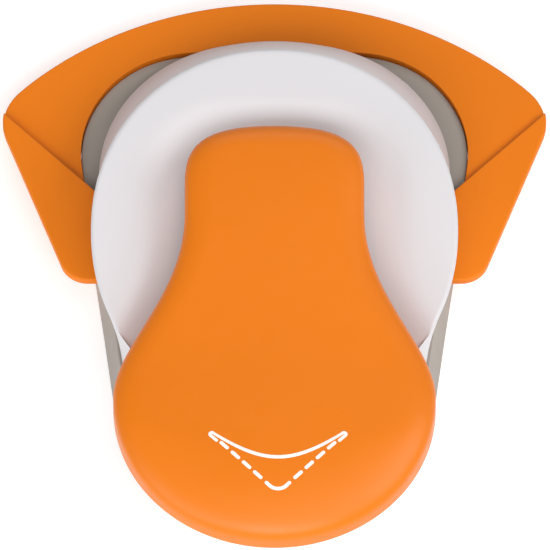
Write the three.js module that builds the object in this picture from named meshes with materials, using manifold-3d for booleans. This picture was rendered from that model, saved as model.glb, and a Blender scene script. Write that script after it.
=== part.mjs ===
// A lever corner-rounder punch for paper craft, modelled as the separate pieces it is assembled from.
// Millimetres, +Z up, +Y towards the paper side, the lever's palm pad towards -Y.
// The origin is under the middle of the whole tool, on the surface that it stands on.
import * as THREE from "three";
import { mergeVertices } from "three/addons/utils/BufferGeometryUtils.js";
import Module from "manifold-3d";

const wasm = await Module();
wasm.setup();

// ---------------------------------------------------------------- driving dimensions
const GAP = 0.3; // clearance between touching pieces
const WALL = 2.4; // moulded wall thickness
const RING_POINTS = 64; // points round each lofted section
const ARC_STEP = Math.PI / 15; // largest step along a rounded corner

// heights of the stack, from the bench up
const FOOT_HEIGHT = 1.5;
const BASE_BOTTOM = 1.8;
const PLATE_TOP = 4.8; // inside face of the bottom plate
const FLOOR = 13; // deck, die and guide floor, where the paper slides
const DECK_BOTTOM = 10.6;
const GUIDE_BOTTOM = 10.7;
const FENCE_TOP = 15.5;
const SLOT_TOP = 17.5; // underside of the head's rim over the paper
const STRIPPER_BOTTOM = 15.8;
const STRIPPER_TOP = 17.2;
const FRAME_BOTTOM = 17.5;
const FRAME_TOP = 19.7;

// plan of the base: straight sides that taper to the front, rounded corners
const BODY = {
  sideX: 44.8, // half width of the deck at sideY
  sideY: 6.35,
  taper: 0.129, // half width lost for each millimetre towards the front
  frontY: -60.5,
  frontBow: 1.2,
  farY: 77,
  farFall: 0.12, // slope of the far edge on each side of its middle
  frontRadius: 28.5,
  farRadius: 31,
  middleRadius: 110,
};
const BASE_DRAFT = 2.5; // how much wider the base is at its foot than at its deck
const HEAD_INSET = 0.8; // the head's rim stands inside the deck's edge by this
const HEAD_FAR = { farRadius: 42, farFall: 0.19, farY: 81.3, middleRadius: 60 };

// flat sloping top of the head
const DISC = {
  y: 7.55,
  z: 33.5,
  halfX: 48.7,
  halfY: 51.3,
  power: 2.1,
  slope: Math.tan(THREE.MathUtils.degToRad(10)),
};
const DISC_EDGE = 0.9; // chamfer round the disc
const VALLEY = { depth: 2, frontDepth: 1.2, width: 14, corner: 12 };
const FRONT_WINDOW = { half: 20.5, frontY: -19.6, farY: 13.5 };
const PIVOT_WINDOW = { half: 17.8, frontY: 13, farY: 27.5 };

// lever
const LEVER = {
  padRadius: 42.6,
  padY: -48.35,
  neckHalf: 23.8,
  neckFrontY: 5,
  neckFarY: 14,
  farY: 31.1,
  padTop: 44,
  farRise: 6.3,
  edgeRise: 3.8,
  lipBottom: 32.9,
  wall: 2.6,
  flareNear: 16.1, // length of the curve's handle at the pad
  flareFar: 24, // and at the neck
  endReach: 10,
  endHalf: 21,
  crown: 0.0009, // fall of the top for each square millimetre across
};
const ROLL = { width: 8, frontWidth: 25, drop: 3.6, frontDrop: 7.6 }; // rounding of the lever's top edge
const PIVOT = { y: 20, z: 41.5, radius: 2, half: 17.6 };
const GROOVE = { radius: 1.4, start: 15.5, end: 16.6 };
const CLIP = { radius: 3.6, bore: 1.65, half: 0.4, mouth: 1.5 };
const ROLLER = { y: -7.5, z: 37.5, radius: 3.7, half: 9, pinRadius: 1.5, pinHalf: 12.4 };

// arm under the lever: two cheeks, seen from the side
const ARM = { farY: 17, frontY: -27, drop: 3.7, inner: 9.4, outer: 12.6 };
const ARM_UNDERSIDE = [[-27, 39], [-22, 37.4], [-10.6, 36.4], [-3, 36.6], [2, 38.4], [17, 38.6]];
const WEB = { half: 11, thickness: 3 };

// paper guide
const GUIDE_ARC = { y: -6.45, radius: 97.4 };
const FENCE_APEX_Y = -17.2; // where the two 45 degree fences would meet
const FENCE_WALL = 3.25; // thickness of the fence step, measured along Y
const WING_FRONT = { x: 55.6, y: 2.6, corner: 4 };
const WING_OUTER = { x: 75, y: 56.2, corner: 15 };
const GUIDE_GAP = 1.05; // the guide stands off the deck's edge by this

// rounded-corner cut: a quarter circle that both fences touch
const CUT_RADIUS = 25.4;
const BLADE_OVERRUN = 1; // the blade reaches past the fences by this
const BLADE_BOTTOM = 16.2;
const CARRIER = { bottom: 29, top: 33.5, half: 19, frontY: -15, farY: 12 };
const POST = { x: 15, y: 7, radius: 2, top: 36.5, bottom: 17.7, seatRadius: 3.1, seatHeight: 0.9 };
const SPRING = { radius: 2.95, wire: 0.45, turns: 4 };

// die, its place in the deck and the opening under it
const DIE = { half: 28, frontY: -22, farY: 16, corner: 2, gap: 0.35 };
const LEDGE = { half: 31.5, frontY: -25.5, farY: 19.5, bottom: 8.2 };
const CHIP_HOLE = { half: 22, frontY: -18, farY: 10 };

// sheet metal round the blade
const LIP = { startY: 41, bendY: 42.4, endY: 47.5, rise: 4.4, half: 28 };
const EAR = { frontY: 14, footY: 27, farY: 25.5, above: 3.7, corner: 3.8, inner: 13.2, outer: 15.2 };
const BLADE_WINDOW = [[-20, -1.5], [-2, -19.6], [2, -19.6], [20, -1.5], [20, 2.2], [-20, 2.2]];

// fasteners: places in plan
const FRAME_SCREWS = [[36.5, 12], [-36.5, 12], [23, -26.5], [-23, -26.5]];
const HOUSING_SCREWS = [[39, -10], [-39, -10], [22, -38], [-22, -38]];
const DIE_SCREWS = [[25, 12.5], [-25, 12.5], [25, -18.5], [-25, -18.5]];
const FEET = [[29, -47], [-29, -47], [37, 46], [-37, 46]];
const LEVER_SCREW_Y = [6.5, -20.5];
const BLADE_SCREWS = [[7.5, -7.6], [-7.5, -7.6]];
const SHANK_HOLE = 1.8;
const BOSS = 4;
const CASE_SCREW = { head: 2.8, shank: 1.5, face: 1.9, seat: 3.3 };
const CASE_SINK = { radius: 3.1, top: 3.6 };
const DIE_SCREW = { head: 2.2, shank: 1.1, face: 12.9, seat: 12.05, tip: 8.4 };
const DIE_SINK = { radius: 2.5, depth: 1.3, hole: 1.4 };
const BLADE_SCREW = { head: 2.1, shank: 1, face: 33.2, seat: 31.6, tip: 23.6 };
const BLADE_SINK = { radius: 2.4, depth: 2.2, hole: 1.3 };
const LEVER_SCREW = { head: 2.6, shank: 1.3, headHeight: 1.8, length: 5.2, under: 3.6 };

// past the model on every side
const FAR = 150;
const ABOVE = 60;

// ---------------------------------------------------------------- materials
const paint = (color, roughness, metalness = 0) =>
  new THREE.MeshStandardMaterial({ color, roughness, metalness });
const ORANGE = paint(0xf07f24, 0.42);
const WHITE = paint(0xdedcdd, 0.4);
const GREY = paint(0xa3a29e, 0.5);
const DARK = paint(0x3a3b3d, 0.6);
const RUBBER = paint(0x2a2a2a, 0.9);
const STEEL = paint(0xb4b6b8, 0.35, 1);
const HARD_STEEL = paint(0x8d9094, 0.28, 1);

// ---------------------------------------------------------------- helpers
const root = new THREE.Group();

/** Turns a closed geometry into a solid that can be joined and cut. */
function solid(geometry) {
  const bare = new THREE.BufferGeometry();
  const source = geometry.index ? geometry.toNonIndexed() : geometry;
  bare.setAttribute("position", source.getAttribute("position").clone());
  const merged = mergeVertices(bare, 1e-3);
  const corners = merged.index.array;
  const triVerts = [];
  for (let i = 0; i < corners.length; i += 3) {
    const [a, b, c] = [corners[i], corners[i + 1], corners[i + 2]];
    if (a !== b && b !== c && c !== a) triVerts.push(a, b, c);
  }
  const vertProperties = merged.attributes.position.array;
  const mesh = new wasm.Mesh({ numProp: 3, vertProperties, triVerts: new Uint32Array(triVerts) });
  return new wasm.Manifold(mesh);
}

/** Adds a finished solid to the model as one named piece. */
function piece(name, made, material) {
  const { vertProperties, numProp, numVert, triVerts } = made.getMesh();
  const places = new Float32Array(numVert * 3);
  for (let i = 0; i < numVert; i++) {
    const from = i * numProp;
    places.set(vertProperties.subarray(from, from + 3), i * 3);
  }
  const geometry = new THREE.BufferGeometry();
  geometry.setAttribute("position", new THREE.BufferAttribute(places, 3));
  geometry.setIndex(new THREE.BufferAttribute(triVerts, 1));
  geometry.computeVertexNormals();
  const mesh = new THREE.Mesh(geometry, material);
  mesh.name = name;
  root.add(mesh);
}

const join = (first, ...others) => others.reduce((sum, next) => sum.add(next), first);
const cut = (first, ...others) => others.reduce((rest, next) => rest.subtract(next), first);
const smooth = (from, to, value) => THREE.MathUtils.smoothstep(value, from, to);
const vectors = (points) => points.map((p) => new THREE.Vector2(...p));

/** Rounds the corners of a polygon: each corner is [x, y, radius]. */
function rounded(corners) {
  const points = [];
  corners.forEach(([x, y, radius = 0], i) => {
    const here = new THREE.Vector2(x, y);
    const back = new THREE.Vector2(...corners.at(i - 1)).sub(here).normalize();
    const ahead = new THREE.Vector2(...corners[(i + 1) % corners.length]).sub(here).normalize();
    if (!radius) {
      points.push(here);
      return;
    }
    const half = Math.acos(THREE.MathUtils.clamp(back.dot(ahead), -1, 1)) / 2;
    const centre = back.clone().add(ahead).normalize().multiplyScalar(radius / Math.sin(half)).add(here);
    const start = here.clone().addScaledVector(back, radius / Math.tan(half)).sub(centre);
    const turn = Math.PI - 2 * half;
    const way = Math.sign(ahead.cross(back));
    const steps = Math.max(1, Math.ceil(turn / ARC_STEP));
    for (let k = 0; k <= steps; k++) {
      points.push(start.clone().rotateAround(new THREE.Vector2(), (way * turn * k) / steps).add(centre));
    }
  });
  return points;
}

/** A straight-sided solid on an outline in plan, from one height to another. */
function prism(points, low, high) {
  const shape = new THREE.Shape(vectors(points));
  const geometry = new THREE.ExtrudeGeometry(shape, { depth: high - low, bevelEnabled: false });
  return solid(geometry.translate(0, 0, low));
}

/** A plate whose outline is drawn in side view (y, z), from one x to another. */
function sidePlate(points, lowX, highX) {
  const shape = new THREE.Shape(vectors(points));
  const geometry = new THREE.ExtrudeGeometry(shape, { depth: highX - lowX, bevelEnabled: false });
  const turn = new THREE.Matrix4().makeBasis(
    new THREE.Vector3(0, 1, 0),
    new THREE.Vector3(0, 0, 1),
    new THREE.Vector3(1, 0, 0),
  );
  return solid(geometry.applyMatrix4(turn).translate(lowX, 0, 0));
}

/** A box from its low and high side along each axis. */
function block(x0, x1, y0, y1, z0, z1) {
  const box = new THREE.BoxGeometry(x1 - x0, y1 - y0, z1 - z0);
  return solid(box.translate((x0 + x1) / 2, (y0 + y1) / 2, (z0 + z1) / 2));
}

/** A box that stands on a plan which is symmetric left to right. */
const opening = ({ half, frontY, farY }, low, high) => block(-half, half, frontY, farY, low, high);

/** A round rod standing at (x, y). */
const rod = (radius, low, high, x = 0, y = 0, sides = 16) =>
  solid(
    new THREE.CylinderGeometry(radius, radius, high - low, sides)
      .rotateX(Math.PI / 2)
      .translate(x, y, (low + high) / 2),
  );

/** A round rod lying along X at (y, z). */
function crossRod(radius, half, y, z, x = 0, sides = 24) {
  const bar = new THREE.CylinderGeometry(radius, radius, 2 * half, sides);
  return solid(bar.rotateZ(Math.PI / 2).translate(x, y, z));
}

/** A turned piece: profile of [radius, height] standing at (x, y). */
function turned(profile, x, y, sides = 12) {
  const geometry = new THREE.LatheGeometry(vectors(profile), sides);
  return solid(geometry.rotateX(Math.PI / 2).translate(x, y, 0));
}

/** A screw at (x, y): the heights of its head's outer face, of the seat under its head and of its tip. */
function screw(x, y, { head, shank, face, seat, tip }) {
  const profile = [[0, face], [head, face], [head, seat], [shank, seat], [shank, tip], [0, tip]];
  return turned(tip < face ? profile.reverse() : profile, x, y);
}

/**
 * Lofts closed sections into one solid. Every section has the same number of points, starts at the front
 * middle and is symmetric left to right, so both ends are closed by strips that join left to right.
 */
function loft(sections) {
  const count = sections[0].length;
  const places = [];
  const face = (a, b, c) => places.push(...a, ...b, ...c);
  sections.slice(1).forEach((next, k) => {
    const here = sections[k];
    for (let i = 0; i < count; i++) {
      const j = (i + 1) % count;
      face(here[i], next[i], next[j]);
      face(here[i], next[j], here[j]);
    }
  });
  const close = (ring, flip) => {
    for (let i = 0; i < count / 2; i++) {
      const quad = [ring[i], ring[i + 1], ring[(count - i - 1) % count], ring[(count - i) % count]];
      if (flip) quad.reverse();
      face(quad[0], quad[1], quad[2]);
      face(quad[0], quad[2], quad[3]);
    }
  };
  close(sections[0], false);
  close(sections.at(-1), true);
  const geometry = new THREE.BufferGeometry();
  geometry.setAttribute("position", new THREE.Float32BufferAttribute(places, 3));
  return solid(geometry);
}

/** Where the base's family of outlines runs, grown outwards by a distance. */
function bodyOutline(grow, changes = {}) {
  const { taper, frontBow, frontRadius, middleRadius, farRadius, farFall, farY } = { ...BODY, ...changes };
  const lean = Math.hypot(1, taper);
  const sideAt = (y) => BODY.sideX + grow * lean + taper * (y - BODY.sideY);
  const far = farY + grow * Math.hypot(1, farFall);
  const farX = (BODY.sideX + grow * lean + taper * (far - BODY.sideY)) / (1 + taper * farFall);
  const front = BODY.frontY - grow;
  const corner = [sideAt(front), front, frontRadius + grow];
  const farCorner = [farX, far - farFall * farX, farRadius + grow];
  const right = [corner, farCorner];
  const left = right.map(([x, y, r]) => [-x, y, r]).reverse();
  return rounded([[0, front - frontBow, middleRadius], ...right, [0, far, middleRadius], ...left]);
}

const headOutline = (grow) => bodyOutline(grow - HEAD_INSET, HEAD_FAR);

/**
 * Points where evenly turned rays from the disc's middle cross an outline, from the front round to the right.
 * Of the crossings along a ray the farthest one counts.
 */
function section(outline, heightAt) {
  const points = [];
  for (let k = 0; k < RING_POINTS; k++) {
    const angle = -Math.PI / 2 + (2 * Math.PI * k) / RING_POINTS;
    const ray = new THREE.Vector2(Math.cos(angle), Math.sin(angle));
    let reach = 0;
    outline.forEach((a, i) => {
      const b = outline[(i + 1) % outline.length];
      const from = new THREE.Vector2(a.x, a.y - DISC.y);
      const side = new THREE.Vector2(b.x - a.x, b.y - a.y);
      const across = ray.cross(side);
      const along = from.cross(side) / across;
      const share = from.cross(ray) / across;
      if (along > 0 && share >= -1e-6 && share <= 1 + 1e-6) reach = Math.max(reach, along);
    });
    const x = Math.abs(ray.x) < 1e-9 ? 0 : ray.x * reach;
    const y = DISC.y + ray.y * reach;
    points.push([x, y, heightAt(x, y)]);
  }
  return points;
}

const flat = (z) => () => z;

/** Plan of everything beyond two 45 degree lines that meet on the middle line. */
const beyondFences = (y) => [[0, y], [FAR, y + FAR], [-FAR, y + FAR]];

// ---------------------------------------------------------------- lever surface
/** Height of the lever's top on its middle line. */
const leverSpine = (y) => LEVER.padTop + LEVER.farRise * smooth(-45, 30, y);

/** Height of the lever's lower edge. */
const leverEdge = (y) => LEVER.lipBottom + LEVER.edgeRise * smooth(-50, 45, y);

/** Half of the lever's outline, from the front middle to the far middle, as [x, y]. */
function leverHalf() {
  const { padRadius, padY, neckHalf, neckFrontY, neckFarY, farY, flareNear, flareFar } = LEVER;
  const half = new THREE.CurvePath();
  const line = (a, b) => new THREE.LineCurve(new THREE.Vector2(...a), new THREE.Vector2(...b));
  const bend = (...p) => new THREE.CubicBezierCurve(...p.map((q) => new THREE.Vector2(...q)));
  const pad = new THREE.EllipseCurve(0, padY, padRadius, padRadius, -Math.PI / 2, 0);
  const [neckFront, neckFar] = [[neckHalf, neckFrontY], [neckHalf, neckFarY]];
  const handles = [[padRadius, padY + flareNear], [neckHalf, neckFrontY - flareFar]];
  const flare = bend([padRadius, padY], ...handles, neckFront);
  const neck = line(neckFront, neckFar);
  const end = bend(neckFar, [neckHalf, neckFarY + LEVER.endReach], [LEVER.endHalf, farY], [0, farY]);
  half.curves = [pad, flare, neck, end];
  return half.getSpacedPoints(RING_POINTS / 2).map((p) => [p.x, p.y]);
}

const LEVER_HALF = leverHalf();

/** One closed section of the lever: its outline drawn in towards the middle line by an inset. */
function leverSection(insetAt, heightAt) {
  const side = LEVER_HALF.map(([x, y], i) => {
    const spineY = THREE.MathUtils.clamp(y, LEVER.padY, LEVER.neckFarY);
    const reach = Math.hypot(x, y - spineY);
    const keep = 1 - insetAt(reach) / reach;
    const onSpine = i === 0 || i === RING_POINTS / 2;
    const px = onSpine ? 0 : x * keep;
    const py = spineY + (y - spineY) * keep;
    return [px, py, heightAt(px, py, insetAt(reach), y)];
  });
  const otherSide = side.slice(1, -1).reverse().map(([x, y, z]) => [-x, y, z]);
  return [...side, ...otherSide];
}

/** How far the lever's top has rolled down at an inset from the outline. */
function leverRoll(inset, outlineY) {
  const frontness = smooth(5, LEVER.padRadius, LEVER.padY - outlineY);
  const width = ROLL.width + (ROLL.frontWidth - ROLL.width) * frontness;
  const drop = ROLL.drop + (ROLL.frontDrop - ROLL.drop) * frontness;
  const u = THREE.MathUtils.clamp(1 - inset / width, 0, 1);
  return drop * (1 - Math.sqrt(1 - u * u));
}

const leverTop = (x, y, inset, outlineY) => leverSpine(y) - leverRoll(inset, outlineY) - LEVER.crown * x * x;

/** The orange palm lever: a hollow moulded cover with two screw bosses under its neck. */
function leverCover() {
  const rollEnd = 5;
  const share = (f) => (reach) => rollEnd + f * (reach - rollEnd);
  const fixed = (d) => () => d;
  const { wall } = LEVER;
  const under = (x, y, inset, outlineY) => leverTop(x, y, Math.max(0, inset - wall * 0.6), outlineY) - wall;
  const made = loft([
    leverSection(share(0.85), leverTop),
    leverSection(share(0.5), leverTop),
    leverSection(share(0.2), leverTop),
    leverSection(fixed(rollEnd), leverTop),
    leverSection(fixed(2.8), leverTop),
    leverSection(fixed(1.2), leverTop),
    leverSection(fixed(0.3), leverTop),
    leverSection(fixed(0), (x, y, inset, outlineY) => leverTop(x, y, inset, outlineY) - 1),
    leverSection(fixed(0), (x, y) => leverEdge(y)),
    leverSection(fixed(wall), (x, y) => leverEdge(y)),
    leverSection(fixed(wall), under),
    leverSection(fixed(rollEnd), under),
    leverSection(share(0.2), under),
    leverSection(share(0.5), under),
    leverSection(share(0.85), under),
  ]);
  const bosses = LEVER_SCREW_Y.map((y) => rod(BOSS, leverSpine(y) - 2.9, leverSpine(y) - 1.5, 0, y));
  const holes = LEVER_SCREW_Y.map((y) => rod(SHANK_HOLE, leverSpine(y) - 4, leverSpine(y) - 1.4, 0, y));
  piece("lever_cover", cut(join(made, ...bosses), ...holes), ORANGE);
}

// ---------------------------------------------------------------- head
/** Height of the head's flat top, before the valley under the lever is taken out. */
const discHeight = (y) => DISC.z + DISC.slope * (y - DISC.y);

/** Rounded edge of the flat top, shrunk to a share of its size. */
function discOutline(share, inset = 0) {
  const points = [];
  for (let k = 0; k < RING_POINTS; k++) {
    const angle = -Math.PI / 2 + (2 * Math.PI * k) / RING_POINTS;
    const [c, s] = [Math.cos(angle), Math.sin(angle)];
    const across = (Math.abs(c) / (DISC.halfX - inset)) ** DISC.power;
    const along = (Math.abs(s) / (DISC.halfY - inset)) ** DISC.power;
    const reach = share / (across + along) ** (1 / DISC.power);
    points.push(new THREE.Vector2(Math.abs(c) < 1e-9 ? 0 : c * reach, DISC.y + s * reach));
  }
  return points;
}

/** How deep the valley that makes room for the lever is at a point. */
function valley(x, y) {
  const half = LEVER.neckHalf + (LEVER.padRadius - LEVER.neckHalf) * smooth(-2, 48, -y);
  const { corner } = VALLEY;
  const dx = Math.abs(x) - (half - corner);
  const dy = y - (LEVER.farY - corner);
  const away = dx > 0 && dy > 0 ? Math.hypot(dx, dy) - corner : Math.max(dx, dy) - corner;
  const depth = VALLEY.depth + VALLEY.frontDepth * smooth(-5, 25, -y);
  return depth * (1 - smooth(0, VALLEY.width, away));
}

const headTop = (drop) => (x, y) => discHeight(y) - valley(x, y) - drop;
const mix = (a, b, share) => a.map((p, i) => p.map((v, k) => v + (b[i][k] - v) * share));

/** The white head: a hollow cover with a flat sloping top, windows for the lever and a slot for the paper. */
function upperHousing() {
  const place = (points, heightAt) => points.map((p) => [p.x, p.y, heightAt(p.x, p.y)]);
  const edge = place(discOutline(1), (x, y) => discHeight(y) - DISC_EDGE);
  const rim = section(headOutline(0), flat(FLOOR + GAP));
  const innerEdge = place(discOutline(1, WALL + 0.4), (x, y) => discHeight(y) - DISC_EDGE - WALL);
  const innerRim = section(headOutline(-WALL), flat(FLOOR + GAP));
  const topShares = [0.2, 0.4, 0.52, 0.64, 0.76, 0.86, 0.94, 0.982];
  const roofShares = [0.95, 0.8, 0.6, 0.4, 0.2];
  const shell = loft([
    ...topShares.map((share) => place(discOutline(share), headTop(0))),
    edge,
    mix(edge, rim, 0.5),
    rim,
    innerRim,
    mix(innerRim, innerEdge, 0.5),
    innerEdge,
    ...roofShares.map((share) => place(discOutline(share, WALL + 0.4), headTop(DISC_EDGE + WALL))),
  ]);
  const bosses = HOUSING_SCREWS.map(([x, y]) => rod(BOSS, FLOOR + GAP, headTop(2)(x, y), x, y));
  const threads = HOUSING_SCREWS.map(([x, y]) => rod(SHANK_HOLE, FLOOR, FLOOR + 6, x, y));
  const slot = prism(beyondFences(FENCE_APEX_Y), FLOOR, SLOT_TOP);
  const overWings = block(-FAR, FAR, WING_FRONT.y - 0.4, FAR, FLOOR, FENCE_TOP + GAP);
  const windows = [FRONT_WINDOW, PIVOT_WINDOW].map((window) => opening(window, SLOT_TOP, ABOVE));
  piece("upper_housing", cut(join(shell, ...bosses), ...threads, slot, overWings, ...windows), WHITE);
}

// ---------------------------------------------------------------- base
/** The grey base: a drafted hollow box, open below, with a recess and a ledge for the die plate. */
function baseHousing() {
  const grow = (z) => (BASE_DRAFT * (FLOOR - z)) / (FLOOR - BASE_BOTTOM);
  const outer = (z) => section(bodyOutline(grow(z)), flat(z));
  const inner = (z, at = z) => section(bodyOutline(grow(at) - WALL), flat(z));
  const shell = loft([outer(FLOOR), outer(BASE_BOTTOM), inner(BASE_BOTTOM), inner(DECK_BOTTOM)]);
  const screws = [...FRAME_SCREWS, ...HOUSING_SCREWS];
  const ledge = opening(LEDGE, LEDGE.bottom, DECK_BOTTOM + 1);
  const bosses = screws.map(([x, y]) => rod(BOSS, PLATE_TOP + GAP, DECK_BOTTOM + 1, x, y));
  const holes = screws.map(([x, y]) => rod(SHANK_HOLE, 0, FLOOR + 1, x, y));
  const dieHoles = DIE_SCREWS.map(([x, y]) => rod(DIE_SINK.hole, 8, FLOOR, x, y));
  const roomForDie = { half: DIE.half + GAP, frontY: DIE.frontY - GAP, farY: DIE.farY + GAP };
  const dieRecess = opening(roomForDie, DECK_BOTTOM - GAP, FLOOR + 1);
  const chipHole = opening(CHIP_HOLE, 0, FLOOR);
  const made = cut(join(shell, ledge, ...bosses), ...holes, ...dieHoles, dieRecess, chipHole);
  piece("base_housing", made, GREY);
}

/** The plate that closes the base, with an opening that lets the paper chips fall out. */
function bottomPlate() {
  const plate = prism(bodyOutline(-0.95), BASE_BOTTOM, PLATE_TOP);
  const screws = [...FRAME_SCREWS, ...HOUSING_SCREWS];
  const heads = screws.map(([x, y]) => rod(CASE_SINK.radius, 0, CASE_SINK.top, x, y));
  const shanks = screws.map(([x, y]) => rod(SHANK_HOLE, 0, PLATE_TOP + 1, x, y));
  const chipHole = opening(CHIP_HOLE, 0, PLATE_TOP + 1);
  piece("bottom_plate", cut(plate, ...heads, ...shanks, chipHole), DARK);
}

/** Four round rubber feet. */
function feet() {
  const profile = [[0, 0], [6.2, 0], [7, 0.7], [7, FOOT_HEIGHT], [0, FOOT_HEIGHT]];
  FEET.forEach(([x, y], i) => piece(`foot_pad_${i + 1}`, turned(profile, x, y), RUBBER));
}

// ---------------------------------------------------------------- paper guide
/** The orange guide: a fan-shaped floor round the far side of the base and two raised 45 degree fences. */
function paperGuide() {
  const arc = [];
  const reach = Math.atan2(WING_OUTER.x - 11, WING_OUTER.y + 6 - GUIDE_ARC.y);
  const steps = 18;
  for (let k = 0; k <= steps; k++) {
    const angle = reach - (2 * reach * k) / steps;
    arc.push([GUIDE_ARC.radius * Math.sin(angle), GUIDE_ARC.y + GUIDE_ARC.radius * Math.cos(angle)]);
  }
  const side = [WING_FRONT, WING_OUTER].map(({ x, y, corner }) => [x, y, corner]);
  const outline = rounded([...side, ...arc, ...side.map(([x, y, r]) => [-x, y, r]).reverse()]);
  const overPaper = prism(beyondFences(FENCE_APEX_Y), FLOOR, FENCE_TOP + 1);
  const underFloor = prism(beyondFences(FENCE_APEX_Y - FENCE_WALL), 0, ABOVE);
  const underWings = cut(block(-FAR, FAR, 0, FAR, 0, FLOOR + GAP), underFloor);
  const body = prism(bodyOutline(GUIDE_GAP), 0, FLOOR + GAP);
  const spare = FRAME_SCREWS.map(([x, y]) => rod(SHANK_HOLE, 0, ABOVE, x, y));
  const made = cut(prism(outline, GUIDE_BOTTOM, FENCE_TOP), overPaper, underWings, body, ...spare);
  piece("paper_guide", made, ORANGE);
}

// ---------------------------------------------------------------- die, blade and their plates
/** Outline of the cut: two fence lines and the quarter circle between them, grown by a clearance. */
function cutOutline(grow) {
  const arcY = FENCE_APEX_Y + CUT_RADIUS * Math.SQRT2;
  const radius = CUT_RADIUS - grow;
  const tip = CUT_RADIUS * Math.SQRT1_2;
  const shape = new THREE.Shape();
  const tipY = arcY - Math.sqrt(radius ** 2 - tip ** 2);
  const apex = FENCE_APEX_Y - BLADE_OVERRUN - grow * Math.SQRT2;
  shape.moveTo(0, apex);
  shape.lineTo(tipY + grow - apex, tipY + grow);
  shape.lineTo(tip, tipY + grow);
  const turn = Math.asin(tip / radius);
  shape.absarc(0, arcY, radius, -Math.PI / 2 + turn, -Math.PI / 2 - turn, true);
  shape.lineTo(-tip, tipY + grow);
  shape.lineTo(apex - tipY - grow, tipY + grow);
  return shape.getPoints(14).map((p) => [p.x, p.y]);
}

/** Outline shared by the stripper plate and the frame plate, which differ only at their far end. */
function platesOutline(farX, farY) {
  const right = [[25, -31, 4.5], [29, -20, 6], [33, -2, 5], [40.6, 4, 4], [40.6, 17.5, 4], [farX, farY, 3]];
  return rounded([...right, ...right.map(([x, y, radius]) => [-x, y, radius]).reverse()]);
}

/** Steel die plate, flush with the deck, with the rounded-corner opening. */
function diePlate() {
  const { half, frontY, farY, corner } = DIE;
  const right = [[half, frontY, corner], [half, farY, corner]];
  const left = [[-half, farY, corner], [-half, frontY, corner]];
  const plate = prism(rounded([...right, ...left]), DECK_BOTTOM, FLOOR);
  const cutThrough = prism(cutOutline(DIE.gap), 0, FLOOR + 1);
  const sinks = DIE_SCREWS.map(([x, y]) => rod(DIE_SINK.radius, FLOOR - DIE_SINK.depth, FLOOR + 1, x, y));
  const holes = DIE_SCREWS.map(([x, y]) => rod(DIE_SINK.hole, 0, FLOOR, x, y));
  piece("die_plate", cut(plate, cutThrough, ...sinks, ...holes), HARD_STEEL);
  DIE_SCREWS.forEach(([x, y], i) => piece(`die_screw_${i + 1}`, screw(x, y, DIE_SCREW), STEEL));
}

/** Steel plate over the paper: it strips the paper off the blade, and its far lip leads the paper in. */
function stripperPlate() {
  const plate = prism(platesOutline(30, 42), STRIPPER_BOTTOM, STRIPPER_TOP);
  const { startY, bendY, endY, rise, half } = LIP;
  const near = [[startY, STRIPPER_BOTTOM], [bendY, STRIPPER_BOTTOM]];
  const far = [[endY, STRIPPER_BOTTOM + rise], [endY, STRIPPER_TOP + rise]];
  const lip = sidePlate([...near, ...far, [startY, STRIPPER_TOP]], -half, half);
  const cutThrough = prism(cutOutline(DIE.gap), 0, ABOVE);
  const holes = FRAME_SCREWS.map(([x, y]) => rod(SHANK_HOLE, 0, ABOVE, x, y));
  piece("stripper_plate", cut(join(plate, lip), cutThrough, ...holes), STEEL);
  FRAME_SCREWS.slice(2).forEach(([x, y], i) => {
    const washer = cut(rod(BOSS, FLOOR + GAP, FENCE_TOP, x, y), rod(SHANK_HOLE, 0, ABOVE, x, y));
    piece(`frame_spacer_${i + 1}`, washer, STEEL);
  });
}

/** Bent steel frame: a plate over the slot with two ears that carry the pivot pin. */
function pivotFrame() {
  const plate = prism(platesOutline(18, 28), FRAME_BOTTOM, FRAME_TOP);
  const { frontY, footY, farY, corner, inner, outer } = EAR;
  const [foot, top] = [FRAME_TOP - 1, PIVOT.z + EAR.above];
  const ear = rounded([[frontY, foot], [footY, foot], [farY, top, corner], [frontY, top, corner]]);
  const ears = [sidePlate(ear, inner, outer), sidePlate(ear, -outer, -inner)];
  const window = prism(BLADE_WINDOW, 0, ABOVE);
  const posts = [-POST.x, POST.x].map((x) => rod(POST.radius + GAP, 0, ABOVE, x, POST.y));
  const holes = FRAME_SCREWS.map(([x, y]) => rod(SHANK_HOLE, 0, ABOVE, x, y));
  const bore = crossRod(PIVOT.radius + GAP, 20, PIVOT.y, PIVOT.z);
  piece("pivot_frame", cut(join(plate, ...ears), window, ...posts, ...holes, bore), STEEL);
}

/** Long screws that hold the frame, stripper, guide and base together, and those that hold the head on. */
function caseScrews() {
  const place = (name, screws, tip) =>
    screws.forEach(([x, y], i) => piece(`${name}_${i + 1}`, screw(x, y, { ...CASE_SCREW, tip }), STEEL));
  place("frame_screw", FRAME_SCREWS, FRAME_TOP + 0.1);
  place("housing_screw", HOUSING_SCREWS, FLOOR + 5.6);
}

/** The pivot pin with a groove near each end, and the clip in each groove. */
function pivot() {
  const { radius, y, z, half } = PIVOT;
  const { radius: waist, start, end } = GROOVE;
  const right = [[radius, start], [waist, start], [waist, end], [radius, end], [radius, half], [0, half]];
  const left = right.map(([r, x]) => [r, -x]).reverse();
  const pin = new THREE.LatheGeometry(vectors([...left, ...right]), 24).rotateZ(-Math.PI / 2);
  piece("pivot_pin", solid(pin.translate(0, y, z)), STEEL);
  [1, -1].forEach((side, i) => {
    const at = (side * (start + end)) / 2;
    const ring = crossRod(CLIP.radius, CLIP.half, y, z, at);
    const bore = crossRod(CLIP.bore, 3 * CLIP.half, y, z, at);
    const mouth = block(at - 1, at + 1, y - CLIP.mouth, y + CLIP.mouth, z - 2 * CLIP.radius, z);
    piece(`pivot_clip_${i + 1}`, cut(ring, bore, mouth), HARD_STEEL);
  });
}

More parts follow.
